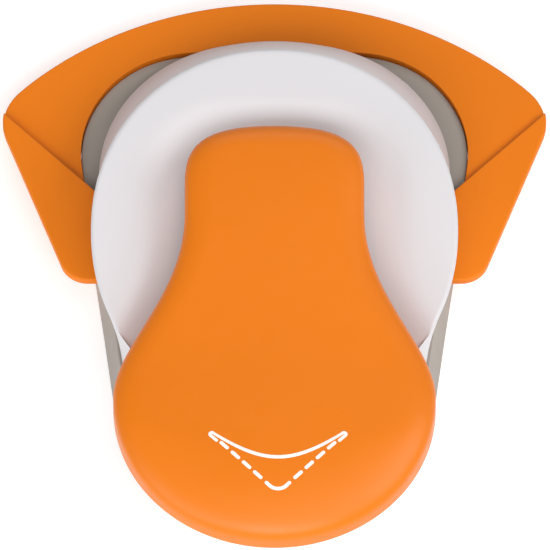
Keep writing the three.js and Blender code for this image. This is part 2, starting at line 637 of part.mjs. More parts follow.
// ---------------------------------------------------------------- moving pieces inside
/** The arm under the cover: two cheeks with the pivot bore and the roller bore, joined by two webs. */
function leverCore() {
  const { farY, frontY, inner, outer } = ARM;
  const top = (y) => leverSpine(y) - ARM.drop;
  const run = (from, to, steps) => [...Array(steps + 1).keys()].map((k) => from + ((to - from) * k) / steps);
  const side = [...run(farY, frontY, 10).map((y) => [y, top(y)]), ...ARM_UNDERSIDE];
  const cheeks = [sidePlate(side, inner, outer), sidePlate(side, -outer, -inner)];
  const web = (y0, y1) => {
    const under = run(y0, y1, 4).map((y) => [y, top(y) - WEB.thickness]);
    const over = run(y1, y0, 4).map((y) => [y, top(y)]);
    return sidePlate([...under, ...over], -WEB.half, WEB.half);
  };
  const bosses = [[4.4, PIVOT], [3.5, ROLLER]].flatMap(([radius, { y, z }]) =>
    cut(crossRod(radius, outer, y, z), crossRod(6, inner, y, z)).decompose(),
  );
  const bores = [crossRod(PIVOT.radius + GAP, 20, PIVOT.y, PIVOT.z), crossRod(1.8, 20, ROLLER.y, ROLLER.z)];
  const holes = LEVER_SCREW_Y.map((y) => rod(SHANK_HOLE, 30, ABOVE, 0, y));
  const arm = join(...cheeks, web(0, 13), web(-27, -14), ...bosses);
  piece("lever_core", cut(arm, ...bores, ...holes), DARK);
  LEVER_SCREW_Y.forEach((y, i) => {
    const seat = top(y) - LEVER_SCREW.under;
    const heights = { face: seat - LEVER_SCREW.headHeight, seat, tip: seat + LEVER_SCREW.length };
    piece(`lever_screw_${i + 1}`, screw(0, y, { ...LEVER_SCREW, ...heights }), STEEL);
  });
}

/** The roller under the arm that presses the punch down, and its pin. */
function roller() {
  const { y, z, radius, half, pinRadius, pinHalf } = ROLLER;
  const wheel = crossRod(radius, half, y, z, 0, 32);
  piece("nose_roller", cut(wheel, crossRod(pinRadius + GAP, half + 1, y, z)), HARD_STEEL);
  piece("roller_pin", crossRod(pinRadius, pinHalf, y, z), STEEL);
}

/** The punch: a carrier block on two guide posts, with the blade screwed under it. */
function punch() {
  const { bottom, top, half, frontY, farY } = CARRIER;
  const outline = rounded([[half, frontY, 4], [half, farY, 3], [-half, farY, 3], [-half, frontY, 4]]);
  const { radius, depth, hole } = BLADE_SINK;
  const bores = [-POST.x, POST.x].map((x) => rod(POST.radius + GAP, 0, ABOVE, x, POST.y));
  const heads = BLADE_SCREWS.map(([x, y]) => rod(radius, top - depth, top + 1, x, y));
  const shanks = BLADE_SCREWS.map(([x, y]) => rod(hole, 0, top, x, y));
  piece("punch_carrier", cut(prism(outline, bottom, top), ...bores, ...heads, ...shanks), DARK);
  const threads = BLADE_SCREWS.map(([x, y]) => rod(hole, bottom - 6, bottom, x, y));
  piece("punch_blade", cut(prism(cutOutline(0), BLADE_BOTTOM, bottom - GAP), ...threads), HARD_STEEL);
  BLADE_SCREWS.forEach(([x, y], i) => piece(`blade_screw_${i + 1}`, screw(x, y, BLADE_SCREW), STEEL));
}

/** Guide posts with a spring seat, and the return springs round them. */
function postsAndSprings() {
  const { radius, top, bottom, seatRadius, seatHeight, x: postX, y: postY } = POST;
  const { radius: coilRadius, wire, turns } = SPRING;
  const under = FRAME_TOP + GAP;
  const seat = under + seatHeight;
  const stem = [[0, bottom], [radius, bottom], [radius, under], [seatRadius, under], [seatRadius, seat]];
  const profile = [...stem, [radius, seat], [radius, top - 0.6], [radius - 0.6, top], [0, top]];
  const low = seat + GAP + wire;
  const high = CARRIER.bottom - GAP - wire;
  class Helix extends THREE.Curve {
    constructor(x, y) {
      super();
      this.at = [x, y];
    }
    getPoint(t, target = new THREE.Vector3()) {
      const angle = 2 * Math.PI * turns * t;
      const [x, y] = this.at;
      const [across, along] = [coilRadius * Math.cos(angle), coilRadius * Math.sin(angle)];
      return target.set(x + across, y + along, low + (high - low) * t);
    }
  }
  const round = new THREE.Shape(new THREE.EllipseCurve(0, 0, wire, wire).getPoints(5).slice(1));
  [postX, -postX].forEach((x, i) => {
    piece(`guide_post_${i + 1}`, turned(profile, x, postY, 16), STEEL);
    const coil = new THREE.ExtrudeGeometry(round, { steps: turns * 10, extrudePath: new Helix(x, postY) });
    piece(`return_spring_${i + 1}`, solid(coil), STEEL);
  });
}

leverCover();
upperHousing();
baseHousing();
bottomPlate();
feet();
paperGuide();
diePlate();
stripperPlate();
pivotFrame();
caseScrews();
pivot();
leverCore();
roller();
punch();
postsAndSprings();

export default root;
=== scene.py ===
"""Looks for a lever corner punch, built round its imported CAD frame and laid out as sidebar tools.

Shape functions work in millimetres in the frame's own axes: +Z up, +Y towards the paper side.
"""

import math

import bmesh
import bpy
import numpy as np
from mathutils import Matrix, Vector


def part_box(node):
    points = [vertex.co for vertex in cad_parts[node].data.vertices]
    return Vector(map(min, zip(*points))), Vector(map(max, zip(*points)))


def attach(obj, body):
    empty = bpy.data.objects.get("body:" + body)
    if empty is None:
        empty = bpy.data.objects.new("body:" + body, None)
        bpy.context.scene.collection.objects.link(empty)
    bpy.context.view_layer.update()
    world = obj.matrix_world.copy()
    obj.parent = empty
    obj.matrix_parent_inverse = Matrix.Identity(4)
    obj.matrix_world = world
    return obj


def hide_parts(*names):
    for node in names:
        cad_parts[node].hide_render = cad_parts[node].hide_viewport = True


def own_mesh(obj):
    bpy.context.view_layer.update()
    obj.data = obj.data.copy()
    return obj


bl_info = {
    "name": "Craft Corner Punch",
    "version": (1, 0, 0),
    "blender": (4, 5, 0),
    "location": "3D View > Sidebar > Corner Punch",
    "description": "Builds the shells, print, springs, finishes and stage of a lever corner punch",
    "category": "Object",
}

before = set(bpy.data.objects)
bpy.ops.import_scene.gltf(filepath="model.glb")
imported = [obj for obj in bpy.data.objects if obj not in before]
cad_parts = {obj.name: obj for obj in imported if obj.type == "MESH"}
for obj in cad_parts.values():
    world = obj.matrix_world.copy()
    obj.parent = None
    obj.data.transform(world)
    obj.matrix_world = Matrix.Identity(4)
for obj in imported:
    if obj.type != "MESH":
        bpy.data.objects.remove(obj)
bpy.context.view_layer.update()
MM = 0.001


# ---------------------------------------------------------------- places read from the frame
def box_mm(node):
    """Lowest and highest corner of a CAD node, in millimetres."""
    low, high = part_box(node)
    return np.array(low) / MM, np.array(high) / MM


LEVER_LOW, LEVER_HIGH = box_mm("lever_cover")
HEAD_LOW, HEAD_HIGH = box_mm("upper_housing")
BASE_LOW, BASE_HIGH = box_mm("base_housing")
GUIDE_LOW, GUIDE_HIGH = box_mm("paper_guide")
DIE_LOW, DIE_HIGH = box_mm("die_plate")
SPRING_LOW, SPRING_HIGH = box_mm("return_spring_1")
BLADE_FRONT_Y = box_mm("punch_blade")[0][1]

CLEARANCE = 0.3
BLADE_OVERRUN = 1.0  # how far the blade reaches past the corner it cuts
FLOOR_Z = float(BASE_HIGH[2])  # height of the deck and of the guide's floor
FENCE_APEX_Y = float(BLADE_FRONT_Y) + BLADE_OVERRUN  # where the lines of the two fences meet


# ---------------------------------------------------------------- sizes and colours to change
def length(name, millimetres, description):
    """A length property, given in millimetres and kept in metres."""
    metres = float(millimetres) * MM
    return bpy.props.FloatProperty(
        name=name, description=description, default=metres, unit="LENGTH", subtype="DISTANCE"
    )


def colour(name, red, green, blue, description):
    """A colour property from display values of 0 to 255, kept as scene-linear values."""
    shown = np.array([red, green, blue]) / 255
    linear = tuple(np.where(shown <= 0.04045, shown / 12.92, ((shown + 0.055) / 1.055) ** 2.4))
    return bpy.props.FloatVectorProperty(
        name=name, description=description, default=linear, size=3, min=0, max=1, subtype="COLOR"
    )


def power(name, watts, description):
    """A lamp's power property, in watts."""
    return bpy.props.FloatProperty(name=name, description=description, default=watts, min=0, unit="POWER")


def angle(name, degrees, description):
    """An angle property, given in degrees and kept in radians."""
    radians = math.radians(degrees)
    return bpy.props.FloatProperty(
        name=name, description=description, default=radians, unit="ROTATION", subtype="ANGLE"
    )


class PunchLeverSizes(bpy.types.PropertyGroup):
    """Sizes of the palm lever and the print on its pad."""

    pad_radius: length("Pad radius", LEVER_HIGH[0], "Radius of the round palm pad")
    front_y: length("Front", LEVER_LOW[1], "Place of the pad's front edge along Y")
    far_y: length("Far end", LEVER_HIGH[1], "Place of the lever's far end along Y")
    neck_half: length("Neck half width", 23.8, "Half of the neck's width")
    neck_front_y: length("Neck front", 5, "Where the neck's straight sides begin")
    neck_far_y: length("Neck far", 14, "Where the neck's straight sides end")
    pad_top: length("Pad height", 44, "Height of the pad's middle above the bench")
    far_rise: length("Rise to the far end", 6.3, "How much higher the far end is than the pad")
    lip_bottom: length("Lip height", LEVER_LOW[2], "Height of the lower edge at the front")
    edge_rise: length("Lip rise", 3.8, "How much the lower edge climbs to the far end")
    wall: length("Wall", 2.6, "Thickness of the moulded cover")
    print_width: length("Print line width", 0.98, "Width of the printed strokes")
    print_proud: length("Print thickness", 0.05, "How far the ink stands above the plastic")
    print_shift: length("Print shift", 0.9, "Distance of the print from the middle line")


class PunchHeadSizes(bpy.types.PropertyGroup):
    """Sizes of the white head."""

    far_edge_radius: length("Far edge radius", 1.9, "Rounding between the top and the wall at the far end")
    disc_half_x: length("Top half width", HEAD_HIGH[0], "Half width of the flat sloping top")
    disc_half_y: length("Top half length", 51.3, "Half length of the flat sloping top")
    disc_y: length("Top middle", 7.55, "Place of the flat top's middle along Y")
    disc_z: length("Top height", 33.5, "Height of the flat top at its middle")
    slope: angle("Top slope", 10, "How far the flat top leans towards the palm pad")
    edge_radius: length("Top edge radius", 0.9, "Rounding between the top and the skirt")
    valley_depth: length("Valley depth", 2, "Depth of the valley under the lever's neck")
    valley_width: length("Valley width", 14, "Width of the slope on each side of the valley")
    wall: length("Wall", 2.4, "Thickness of the moulded head")


class PunchBaseSizes(bpy.types.PropertyGroup):
    """Sizes of the grey base."""

    side_x: length("Side half width", 44.8, "Half width of the deck beside the die")
    draft: length("Draft", 2.5, "How much wider the base is at its foot than at its deck")
    edge_radius: length("Deck edge radius", 0.5, "Rounding round the deck")
    wall: length("Wall", 2.4, "Thickness of the moulded base")


class PunchGuideSizes(bpy.types.PropertyGroup):
    """Sizes of the orange paper guide."""

    far_radius: length("Far arc radius", 97.4, "Radius of the guide's far edge")
    fence_wall: length("Fence wall", 3.25, "Thickness of the fence step along Y")
    edge_radius: length("Edge radius", 0.5, "Rounding along the guide's upper edges")


class PunchSpringSizes(bpy.types.PropertyGroup):
    """Sizes of the two return springs."""

    wire_radius: length("Wire radius", 0.45, "Radius of the spring wire")
    turns: bpy.props.FloatProperty(
        name="Turns", description="Turns of each spring", default=5, min=2, max=12
    )


class PunchColours(bpy.types.PropertyGroup):
    """Colours of the plastics, the print and the metals."""

    orange: colour("Orange plastic", 236, 125, 16, "Colour of the paper guide")
    lever_orange: colour("Lever orange", 230, 121, 14, "Colour of the lever")
    white: colour("White plastic", 218, 216, 219, "Colour of the head")
    # the grey leans warm: painted orange bounce light from the guide and lever, laid over the base's own
    # grey
    grey: colour("Grey plastic", 166, 157, 148, "Colour of the base")
    dark: colour("Dark plastic", 46, 47, 49, "Colour of the inner plastic pieces")
    rubber: colour("Rubber", 30, 30, 31, "Colour of the feet")
    ink: colour("Ink", 250, 244, 238, "Colour of the print on the pad")
    steel: colour("Steel", 176, 178, 181, "Colour of the plated steel")
    tool_steel: colour("Tool steel", 138, 141, 146, "Colour of the hardened blade and die")


class PunchStageSizes(bpy.types.PropertyGroup):
    """Camera and lamps."""

    elevation: angle("Camera elevation", 58.5, "Angle of the camera above the bench")
    aim_y: length("Camera aim", 13.6, "Place along Y that the camera looks at")
    aim_x: length("Camera aim across", 0.13, "Place along X that the camera looks at")
    view_width: length("View width", 146.67, "Width of the camera's view at the object")
    distance: length("Camera distance", 6000, "Distance of the camera from its aim")
    floor_half: length("Floor half width", 3000, "Half width of the pale floor")
    key_power: power("Front lamp", 10.0, "Power of the large lamp in front")
    top_power: power("Top lamp", 1.2, "Power of the large lamp overhead")
    side_power: power("Side lamp", 2.6, "Power of the near lamp on the right")
    fill_power: power("Left lamp", 1.9, "Power of the lamp on the left")
    back_power: power("Back lamp", 1.1, "Power of the strip lamp behind")
    air: bpy.props.FloatProperty(
        name="Surroundings", description="Strength of the even white light", default=0.15, min=0, max=5
    )


# ---------------------------------------------------------------- curves and meshes
REACH_POINTS = 6000


def circle(count):
    """Angles at even steps of a whole turn, from -90 degrees on."""
    return np.linspace(-math.pi / 2, 1.5 * math.pi, count, endpoint=False)


def directions(turn):
    """Unit vectors (x, y) along each angle."""
    return np.stack([np.cos(turn), np.sin(turn)], -1)


def both_sides(corners):
    """Corners (x, y, radius) of the right side, followed by their mirror images in the other order."""
    return [*corners, *((-x, y, radius) for x, y, radius in reversed(corners))]


def smooth(low, high, value):
    """Smoothstep: 0 up to low, 1 from high on, and 3t^2 - 2t^3 between."""
    t = np.clip((np.asarray(value, float) - low) / (high - low), 0, 1)
    return t * t * (3 - 2 * t)


def unit(vector):
    """The vector at length one."""
    return vector / np.linalg.norm(vector)


def rounded(corners, arc_points=24):
    """Closed outline from corners (x, y, radius): at each one an arc that touches both of its sides."""
    spots = np.array([corner[:2] for corner in corners], float)
    arcs = []
    for i, here in enumerate(spots):
        radius = corners[i][2]
        back, ahead = unit(spots[i - 1] - here), unit(spots[(i + 1) % len(spots)] - here)
        half = math.acos(float(np.clip(back @ ahead, -1, 1))) / 2
        centre = here + unit(back + ahead) * radius / math.sin(half)
        start = here + back * radius / math.tan(half) - centre
        way = np.sign(ahead[0] * back[1] - ahead[1] * back[0])
        turn = way * (math.pi - 2 * half) * np.linspace(0, 1, arc_points)
        cos, sin = np.cos(turn), np.sin(turn)
        arc = [start[0] * cos - start[1] * sin, start[0] * sin + start[1] * cos]
        arcs.append(centre + np.stack(arc, -1))
    return np.concatenate(arcs)


def spaced(points, count, closed=True):
    """Points at even distances along a line, by linear interpolation over the distance run."""
    line = np.vstack([points, points[:1]]) if closed else points
    run = np.concatenate([[0], np.cumsum(np.linalg.norm(np.diff(line, axis=0), axis=1))])
    at = np.linspace(0, run[-1], count, endpoint=not closed)
    return np.stack([np.interp(at, run, line[:, k]) for k in range(line.shape[1])], -1)


def reach(outline, centre, angles, closed=True):
    """Distance from a centre to an outline along each angle, interpolated on closely spaced points of
    it."""
    x, y = (spaced(outline, REACH_POINTS, closed) - centre).T
    return np.interp(angles, np.arctan2(y, x), np.hypot(x, y), period=2 * np.pi)


def clip(points, across, up, limit):
    """The part of a closed outline where across*x + up*y is at most limit, closed at the crossing
    points."""
    side = points @ np.array([across, up]) - limit
    ahead = np.roll(side, -1)
    crossing = side * ahead < 0
    share = np.where(crossing, side / np.where(crossing, side - ahead, 1), 0)[:, None]
    crossed = points + share * (np.roll(points, -1, 0) - points)
    both = np.stack([points, crossed], 1).reshape(-1, 2)
    return both[np.stack([side <= 0, crossing], 1).reshape(-1)]


def quads(rows, columns, wrap_rows, wrap_columns):
    """Corner numbers of a grid's four-sided faces, row by row."""
    row = np.arange(rows if wrap_rows else rows - 1)[:, None]
    column = np.arange(columns if wrap_columns else columns - 1)[None]
    here, below = row * columns, (row + 1) % rows * columns
    beside = (column + 1) % columns
    return np.stack([here + column, here + beside, below + beside, below + column], -1).reshape(-1, 4)


SAME_PLACE, NO_LENGTH = 1e-6, 1e-7  # metres


def make_piece(name, grids, body, replaced=(), sharp=32):
    """One object from closed grids, each (points in millimetres, wrap rows, wrap columns).

    A grid with a negative volume is turned over. Points in one place are merged, which closes seams and
    poles. The piece rides on a body and stands for the replaced nodes."""
    places, faces, count = [], [], 0
    for points, wrap_rows, wrap_columns in grids:
        flat = points.reshape(-1, 3)
        corners = quads(*points.shape[:2], wrap_rows, wrap_columns)
        a, b, c, d = (flat[corners[:, k]] for k in range(4))
        if (np.cross(a, b) * c).sum() + (np.cross(a, c) * d).sum() < 0:
            corners = corners[:, ::-1]
        places.append(flat * MM)
        faces.append(corners + count)
        count += len(flat)
    mesh = bpy.data.meshes.new(name)
    mesh.from_pydata(np.concatenate(places).tolist(), [], np.concatenate(faces).tolist())
    tidy_mesh(mesh, sharp)
    piece = bpy.data.objects.new(name, mesh)
    bpy.context.scene.collection.objects.link(piece)
    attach(piece, body)
    if replaced:
        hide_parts(*replaced)
    return piece


def tidy_mesh(mesh, sharp):
    """Merges points in one place, drops faces without area, and shades smooth up to a sharp angle in
    degrees."""
    work = bmesh.new()
    work.from_mesh(mesh)
    bmesh.ops.remove_doubles(work, verts=work.verts, dist=SAME_PLACE)
    bmesh.ops.dissolve_degenerate(work, edges=work.edges, dist=NO_LENGTH)
    work.to_mesh(mesh)
    work.free()
    mesh.polygons.foreach_set("use_smooth", np.ones(len(mesh.polygons), bool))
    mesh.set_sharp_from_angle(angle=math.radians(sharp))
    mesh.update()


def rings(plan, height):
    """Stacks plan points (rows, columns, 2) and heights that fit them into grid points (rows, columns,
    3)."""
    return np.concatenate([plan, np.broadcast_to(height, plan.shape[:2])[..., None]], -1)


SHORTEST_SIDE = 0.01
LEAST_FACING = 0.001  # cosine between a ray and a side that it meets


def slab_profile(low, high, top, bottom, steps=5):
    """Inset and height up the side of a slab, with quarter-circle edges of radius top above, bottom
    below."""
    turn = np.linspace(0, math.pi / 2, steps)
    inset = np.concatenate([bottom * (1 - np.sin(turn)), top * (1 - np.cos(turn))])
    height = np.concatenate([low + bottom * (1 - np.cos(turn)), high - top * (1 - np.sin(turn))])
    return inset, height


def slab(outline, low, high, top, bottom):
    """Closed slab on a convex outline. The plan at each level is the outline with all its sides moved
    in by the inset of slab_profile: along each ray from the middle, the nearest of the moved sides. The
    flat faces are rings drawn in towards the middle."""
    gap = np.linalg.norm(np.roll(outline, -1, 0) - outline, axis=1)
    outline = outline[gap > SHORTEST_SIDE]
    run = np.roll(outline, -1, 0) - outline
    out = np.stack([run[:, 1], -run[:, 0]], -1) / np.linalg.norm(run, axis=1)[:, None]
    middle = spaced(outline, 400).mean(0)
    room = ((outline - middle) * out).sum(1)
    out, room = out * np.sign(room)[:, None], np.abs(room)
    corners = np.concatenate([outline, spaced(outline, 160)]) - middle
    turn = np.unique(np.round(np.arctan2(corners[:, 1], corners[:, 0]), 4))
    ray = directions(turn)
    facing = ray @ out.T
    ahead, facing = facing > LEAST_FACING, np.maximum(facing, LEAST_FACING)
    inset, height = slab_profile(low, high, top, bottom)
    distance = [np.where(ahead, (room - step) / facing, np.inf).min(1) for step in inset]
    side = middle + np.array(distance)[..., None] * ray
    share = np.array([0, 0.5, 0.97])[:, None, None]
    under, over = middle + share * (side[0] - middle), middle + share[::-1] * (side[-1] - middle)
    heights = np.concatenate([np.full(3, low), height, np.full(3, high)])[:, None]
    return rings(np.concatenate([under, side, over]), heights), False, True


# ---------------------------------------------------------------- finishes
def nodes_of(material):
    """The material's node tree and its main shader."""
    material.use_nodes = True
    tree = material.node_tree
    return tree, tree.nodes["Principled BSDF"]


def noise(tree, scale, detail, roughness=0.5, stretch=(1, 1, 1)):
    """Noise on the piece's own coordinates, stretched along its axes."""
    place = tree.nodes.new("ShaderNodeTexCoord")
    mapping = tree.nodes.new("ShaderNodeMapping")
    mapping.inputs["Scale"].default_value = stretch
    texture = tree.nodes.new("ShaderNodeTexNoise")
    texture.inputs["Scale"].default_value = scale
    texture.inputs["Detail"].default_value = detail
    texture.inputs["Roughness"].default_value = roughness
    tree.links.new(place.outputs["Object"], mapping.inputs["Vector"])
    tree.links.new(mapping.outputs["Vector"], texture.inputs["Vector"])
    return texture.outputs["Fac"]


def spread(tree, source, low, high):
    """A noise value, which mostly lies between 0.3 and 0.7, spread between two numbers."""
    change = tree.nodes.new("ShaderNodeMapRange")
    for name, number in (("From Min", 0.3), ("From Max", 0.7), ("To Min", low), ("To Max", high)):
        change.inputs[name].default_value = number
    tree.links.new(source, change.inputs["Value"])
    return change.outputs["Result"]


def tint(tree, shader, source, base, contrast):
    """Varies the base colour a little, darker and lighter, with a noise value."""
    blend = tree.nodes.new("ShaderNodeMix")
    blend.data_type = "RGBA"
    blend.inputs["A"].default_value = (*[c * (1 - contrast) for c in base], 1)
    blend.inputs["B"].default_value = (*[min(1, c * (1 + contrast)) for c in base], 1)
    tree.links.new(source, blend.inputs["Factor"])
    tree.links.new(blend.outputs["Result"], shader.inputs["Base Color"])


def bump(tree, shader, source, distance, strength=1.0):
    """Fine relief on the surface from a noise value, as deep as distance in metres."""
    relief = tree.nodes.new("ShaderNodeBump")
    relief.inputs["Distance"].default_value = distance
    relief.inputs["Strength"].default_value = strength
    tree.links.new(source, relief.inputs["Height"])
    tree.links.new(relief.outputs["Normal"], shader.inputs["Normal"])


CLOUDS, STAINS, GLOSS_PATCHES, SCRATCHES = 55, 120, 240, 900  # noise scales, to the metre
PLASTIC_IOR = 1.49


def plastic(name, base, roughness, grain=2600, depth=6e-6, contrast=0.018, specular=0.5):
    """Moulded plastic: a fine spark-eroded grain, slightly uneven gloss and a faint cloudiness in the
    colour."""
    material = bpy.data.materials.new(name)
    tree, shader = nodes_of(material)
    shader.inputs["IOR"].default_value = PLASTIC_IOR
    shader.inputs["Specular IOR Level"].default_value = specular
    tint(tree, shader, noise(tree, CLOUDS, 3), base, contrast)
    gloss = spread(tree, noise(tree, GLOSS_PATCHES, 4), roughness - 0.03, roughness + 0.04)
    tree.links.new(gloss, shader.inputs["Roughness"])
    bump(tree, shader, noise(tree, grain, 2), depth)
    return material


def metal(name, base, roughness, stretch, contrast=0.05, depth=2e-6):
    """Ground or plated metal: long fine scratches along one axis and a slightly uneven shine."""
    material = bpy.data.materials.new(name)
    tree, shader = nodes_of(material)
    shader.inputs["Metallic"].default_value = 1.0
    scratches = noise(tree, SCRATCHES, 3, 0.6, stretch)
    tint(tree, shader, noise(tree, STAINS, 4), base, contrast)
    gloss = spread(tree, scratches, roughness - 0.06, roughness + 0.08)
    tree.links.new(gloss, shader.inputs["Roughness"])
    bump(tree, shader, scratches, depth)
    return material


def cover(piece, material):
    """Gives a piece one material, on its object's slots where the mesh has some already."""
    if not piece.material_slots:
        piece.data.materials.append(material)
    for slot in piece.material_slots:
        slot.material = material


EDGE_ANGLE = 50  # degrees, from which an edge of a CAD node is rounded


def soften_edges(node, width):
    """Welds a CAD node's loose triangles and rounds its edges, with modifiers that leave its mesh
    alone."""
    weld = node.modifiers.new("Weld", "WELD")
    weld.merge_threshold = 2 * SAME_PLACE
    edge = node.modifiers.new("Edges", "BEVEL")
    edge.width = width * MM
    edge.segments = 2
    edge.limit_method = "ANGLE"
    edge.angle_limit = math.radians(EDGE_ANGLE)
    edge.use_clamp_overlap = True
    edge.harden_normals = False


# ---------------------------------------------------------------- lever surface
HALF_POINTS = 150  # points along half of the lever's outline
FLARE_PAD, FLARE_NECK = 16.1, 24  # handles of the curve from the pad to the neck
TIP_SIDE, TIP_END = 10, 21  # handles of the curve round the far end
RISE_Y = (-45, 30)  # between these the lever's top climbs
EDGE_RISE_Y = (-50, 45)  # and between these its lower edge
LEVER_ROLL = {"width": 8, "front_width": 17, "drop": 3.6, "front_drop": 4.0}
LEVER_LIP = 0.45  # rounding of the lower edge
CROWN = 0.0009  # fall of the lever's top for each square millimetre across


def bezier(*points, count=200):
    """Cubic curve through its four control points' weights (1-t)^3, 3t(1-t)^2, 3t^2(1-t), t^3."""
    t = np.linspace(0, 1, count)[:, None]
    weights = [(1 - t) ** 3, 3 * t * (1 - t) ** 2, 3 * t**2 * (1 - t), t**3]
    return sum(weight * np.array(point, float) for weight, point in zip(weights, points))


def lever_outline(lever):
    """Half of the lever's outline: the pad's quarter circle, a cubic flare, the neck, a cubic far
    end."""
    radius, neck = lever.pad_radius / MM, lever.neck_half / MM
    pad_y = lever.front_y / MM + radius
    front, far, end = lever.neck_front_y / MM, lever.neck_far_y / MM, lever.far_y / MM
    pad = np.array([0, pad_y]) + radius * directions(np.linspace(-math.pi / 2, 0, 200))
    flare = bezier((radius, pad_y), (radius, pad_y + FLARE_PAD), (neck, front - FLARE_NECK), (neck, front))
    tip = bezier((neck, far), (neck, far + TIP_SIDE), (TIP_END, end), (0, end))
    return spaced(np.concatenate([pad, flare[1:], tip]), HALF_POINTS + 1, closed=False), pad_y


def lever_spine(lever, y):
    """Height on the middle line: the pad's height plus the rise times a smoothstep to the far end."""
    return lever.pad_top / MM + lever.far_rise / MM * smooth(*RISE_Y, y)


def lever_edge(lever, y):
    """Height of the lower edge: the lip's height plus its rise times a smoothstep along the lever."""
    return lever.lip_bottom / MM + lever.edge_rise / MM * smooth(*EDGE_RISE_Y, y)


def lever_top(lever, x, y, inset, outline_y):
    """Top height: the middle line less a quarter-ellipse roll near the outline and a square-law crown.

    The roll is wider and deeper round the pad's front than along the neck."""
    pad_y = (lever.front_y + lever.pad_radius) / MM
    frontness = smooth(5, lever.pad_radius / MM, pad_y - outline_y)
    width = LEVER_ROLL["width"] + LEVER_ROLL["front_width"] * frontness
    drop = LEVER_ROLL["drop"] + LEVER_ROLL["front_drop"] * frontness
    u = np.clip(1 - inset / width, 0, 1)
    return lever_spine(lever, y) - drop * (1 - np.sqrt(1 - u * u)) - CROWN * x * x


def lever_shell(lever):
    """Closed grid of the hollow lever. Rows run from the middle line out over the top, down the side,
    round the lower edge and back under the top; columns run round the outline. A point on row k is the
    outline's point drawn towards the nearest point of the middle line by that row's inset."""
    half, pad_y = lever_outline(lever)
    ring = np.concatenate([half, half[-2:0:-1] * (-1, 1)])
    spine_y = np.clip(ring[:, 1], pad_y, lever.neck_far_y / MM)
    full = np.hypot(ring[:, 0], ring[:, 1] - spine_y)
    wall, lip = lever.wall / MM, LEVER_LIP

    def plan(inset):
        keep = 1 - inset / full
        return np.stack([ring[:, 0] * keep, spine_y + (ring[:, 1] - spine_y) * keep], -1)

    share = np.linspace(1, 0, 34)[:, None] ** 1.8
    top_plan = plan(share * full)
    top = rings(top_plan, lever_top(lever, top_plan[..., 0], top_plan[..., 1], share * full, ring[:, 1]))
    edge = lever_edge(lever, ring[:, 1])
    down = np.linspace(0, 1, 6)[1:, None]
    side = rings(plan(np.zeros((5, 1))), top[-1, :, 2] + down * (edge + lip - top[-1, :, 2]))
    turn = np.linspace(0, math.pi / 2, 5)[:, None]
    outer = rings(plan(lip * (1 - np.cos(turn))), edge + lip * (1 - np.sin(turn)))
    inner = rings(plan(wall - lip * (1 - np.sin(turn))), edge + lip * (1 - np.cos(turn)))
    under_inset = wall + (1 - np.linspace(1, 0, 20)[:, None] ** 1.6) * (full - wall)
    under_plan = plan(under_inset)
    above_inset = np.maximum(0, under_inset - 0.6 * wall)
    under_z = lever_top(lever, under_plan[..., 0], under_plan[..., 1], above_inset, ring[:, 1])
    under = rings(under_plan, under_z - wall)
    return np.concatenate([top, side, outer, inner, under]), False, True


# ---------------------------------------------------------------- print on the pad
PRINT = {
    "apex_y": -79.9,  # where the two legs of the V would meet
    "apex_radius": 3.2,
    "apex_half": 3.0,
    "first_dash": 5.3,  # distance of the first dash from the apex, across
    "dash_pitch": 2.95,
    "dash_half": 1.1 / 1.4,  # across
    "dashes": 4,
    "arc_y": -69.4,
    "arc_half": 17.1,
    "arc_blend": 17.4,
    "arc_slope": 1.04,
    "arc_width": 1.06,  # of the other strokes' width, at its middle
    "arc_taper": 0.3,  # share of that width lost at its ends
    "arc_lift": 1.15,  # of the other strokes' thickness
    "hook_turn": (127, -45),  # degrees
    "hook_radius": 0.5,
    "hook_tail": (0.2, 2.2),
    "hook_width": 0.92,
    "hook_lift": 1.3,
}
CAP_POINTS = 8  # points along each rounded end of a stroke
# the section of a stroke, in half widths across and ink thicknesses up
STROKE_ACROSS = np.array([-1, -0.92, -0.7, 0, 0.7, 0.92, 1, 0])
STROKE_UP = np.array([0.2, 0.75, 1, 1, 1, 0.75, 0.2, -2.0])


def stroke(lever, path, half_width, lift):
    """Closed ribbon on the pad: a low domed section carried along a path, with half-round ends.

    The half width fades as a half circle past each end, and heights follow the lever's top plus the
    ink."""
    run = np.gradient(path, axis=0)
    run /= np.linalg.norm(run, axis=1)[:, None]
    turn = np.linspace(0, math.pi / 2, CAP_POINTS)
    fade, caps = np.sin(turn), np.cos(turn)
    start = path[0] - run[0] * half_width[0] * caps[:, None]
    end = path[-1] + run[-1] * half_width[-1] * caps[::-1, None]
    line = np.concatenate([start, path[1:-1], end])
    first, last = np.tile(run[0], (CAP_POINTS, 1)), np.tile(run[-1], (CAP_POINTS, 1))
    along = np.concatenate([first, run[1:-1], last])
    half = np.concatenate([half_width[0] * fade, half_width[1:-1], half_width[-1] * fade[::-1]])
    across = np.stack([-along[:, 1], along[:, 0]], -1)
    plan = line + STROKE_ACROSS[:, None, None] * half[:, None] * across
    return rings(plan, pad_height(lever, plan[..., 0], plan[..., 1]) + STROKE_UP[:, None] * lift)


def pad_height(lever, x, y):
    """Height of the lever's top on the round part of the pad, from the distance to the pad's middle."""
    radius, pad_y = lever.pad_radius / MM, (lever.front_y + lever.pad_radius) / MM
    out = np.maximum(np.hypot(x, y - pad_y), 1e-6)  # never zero
    return lever_top(lever, x, y, radius - out, pad_y + (y - pad_y) * radius / out)


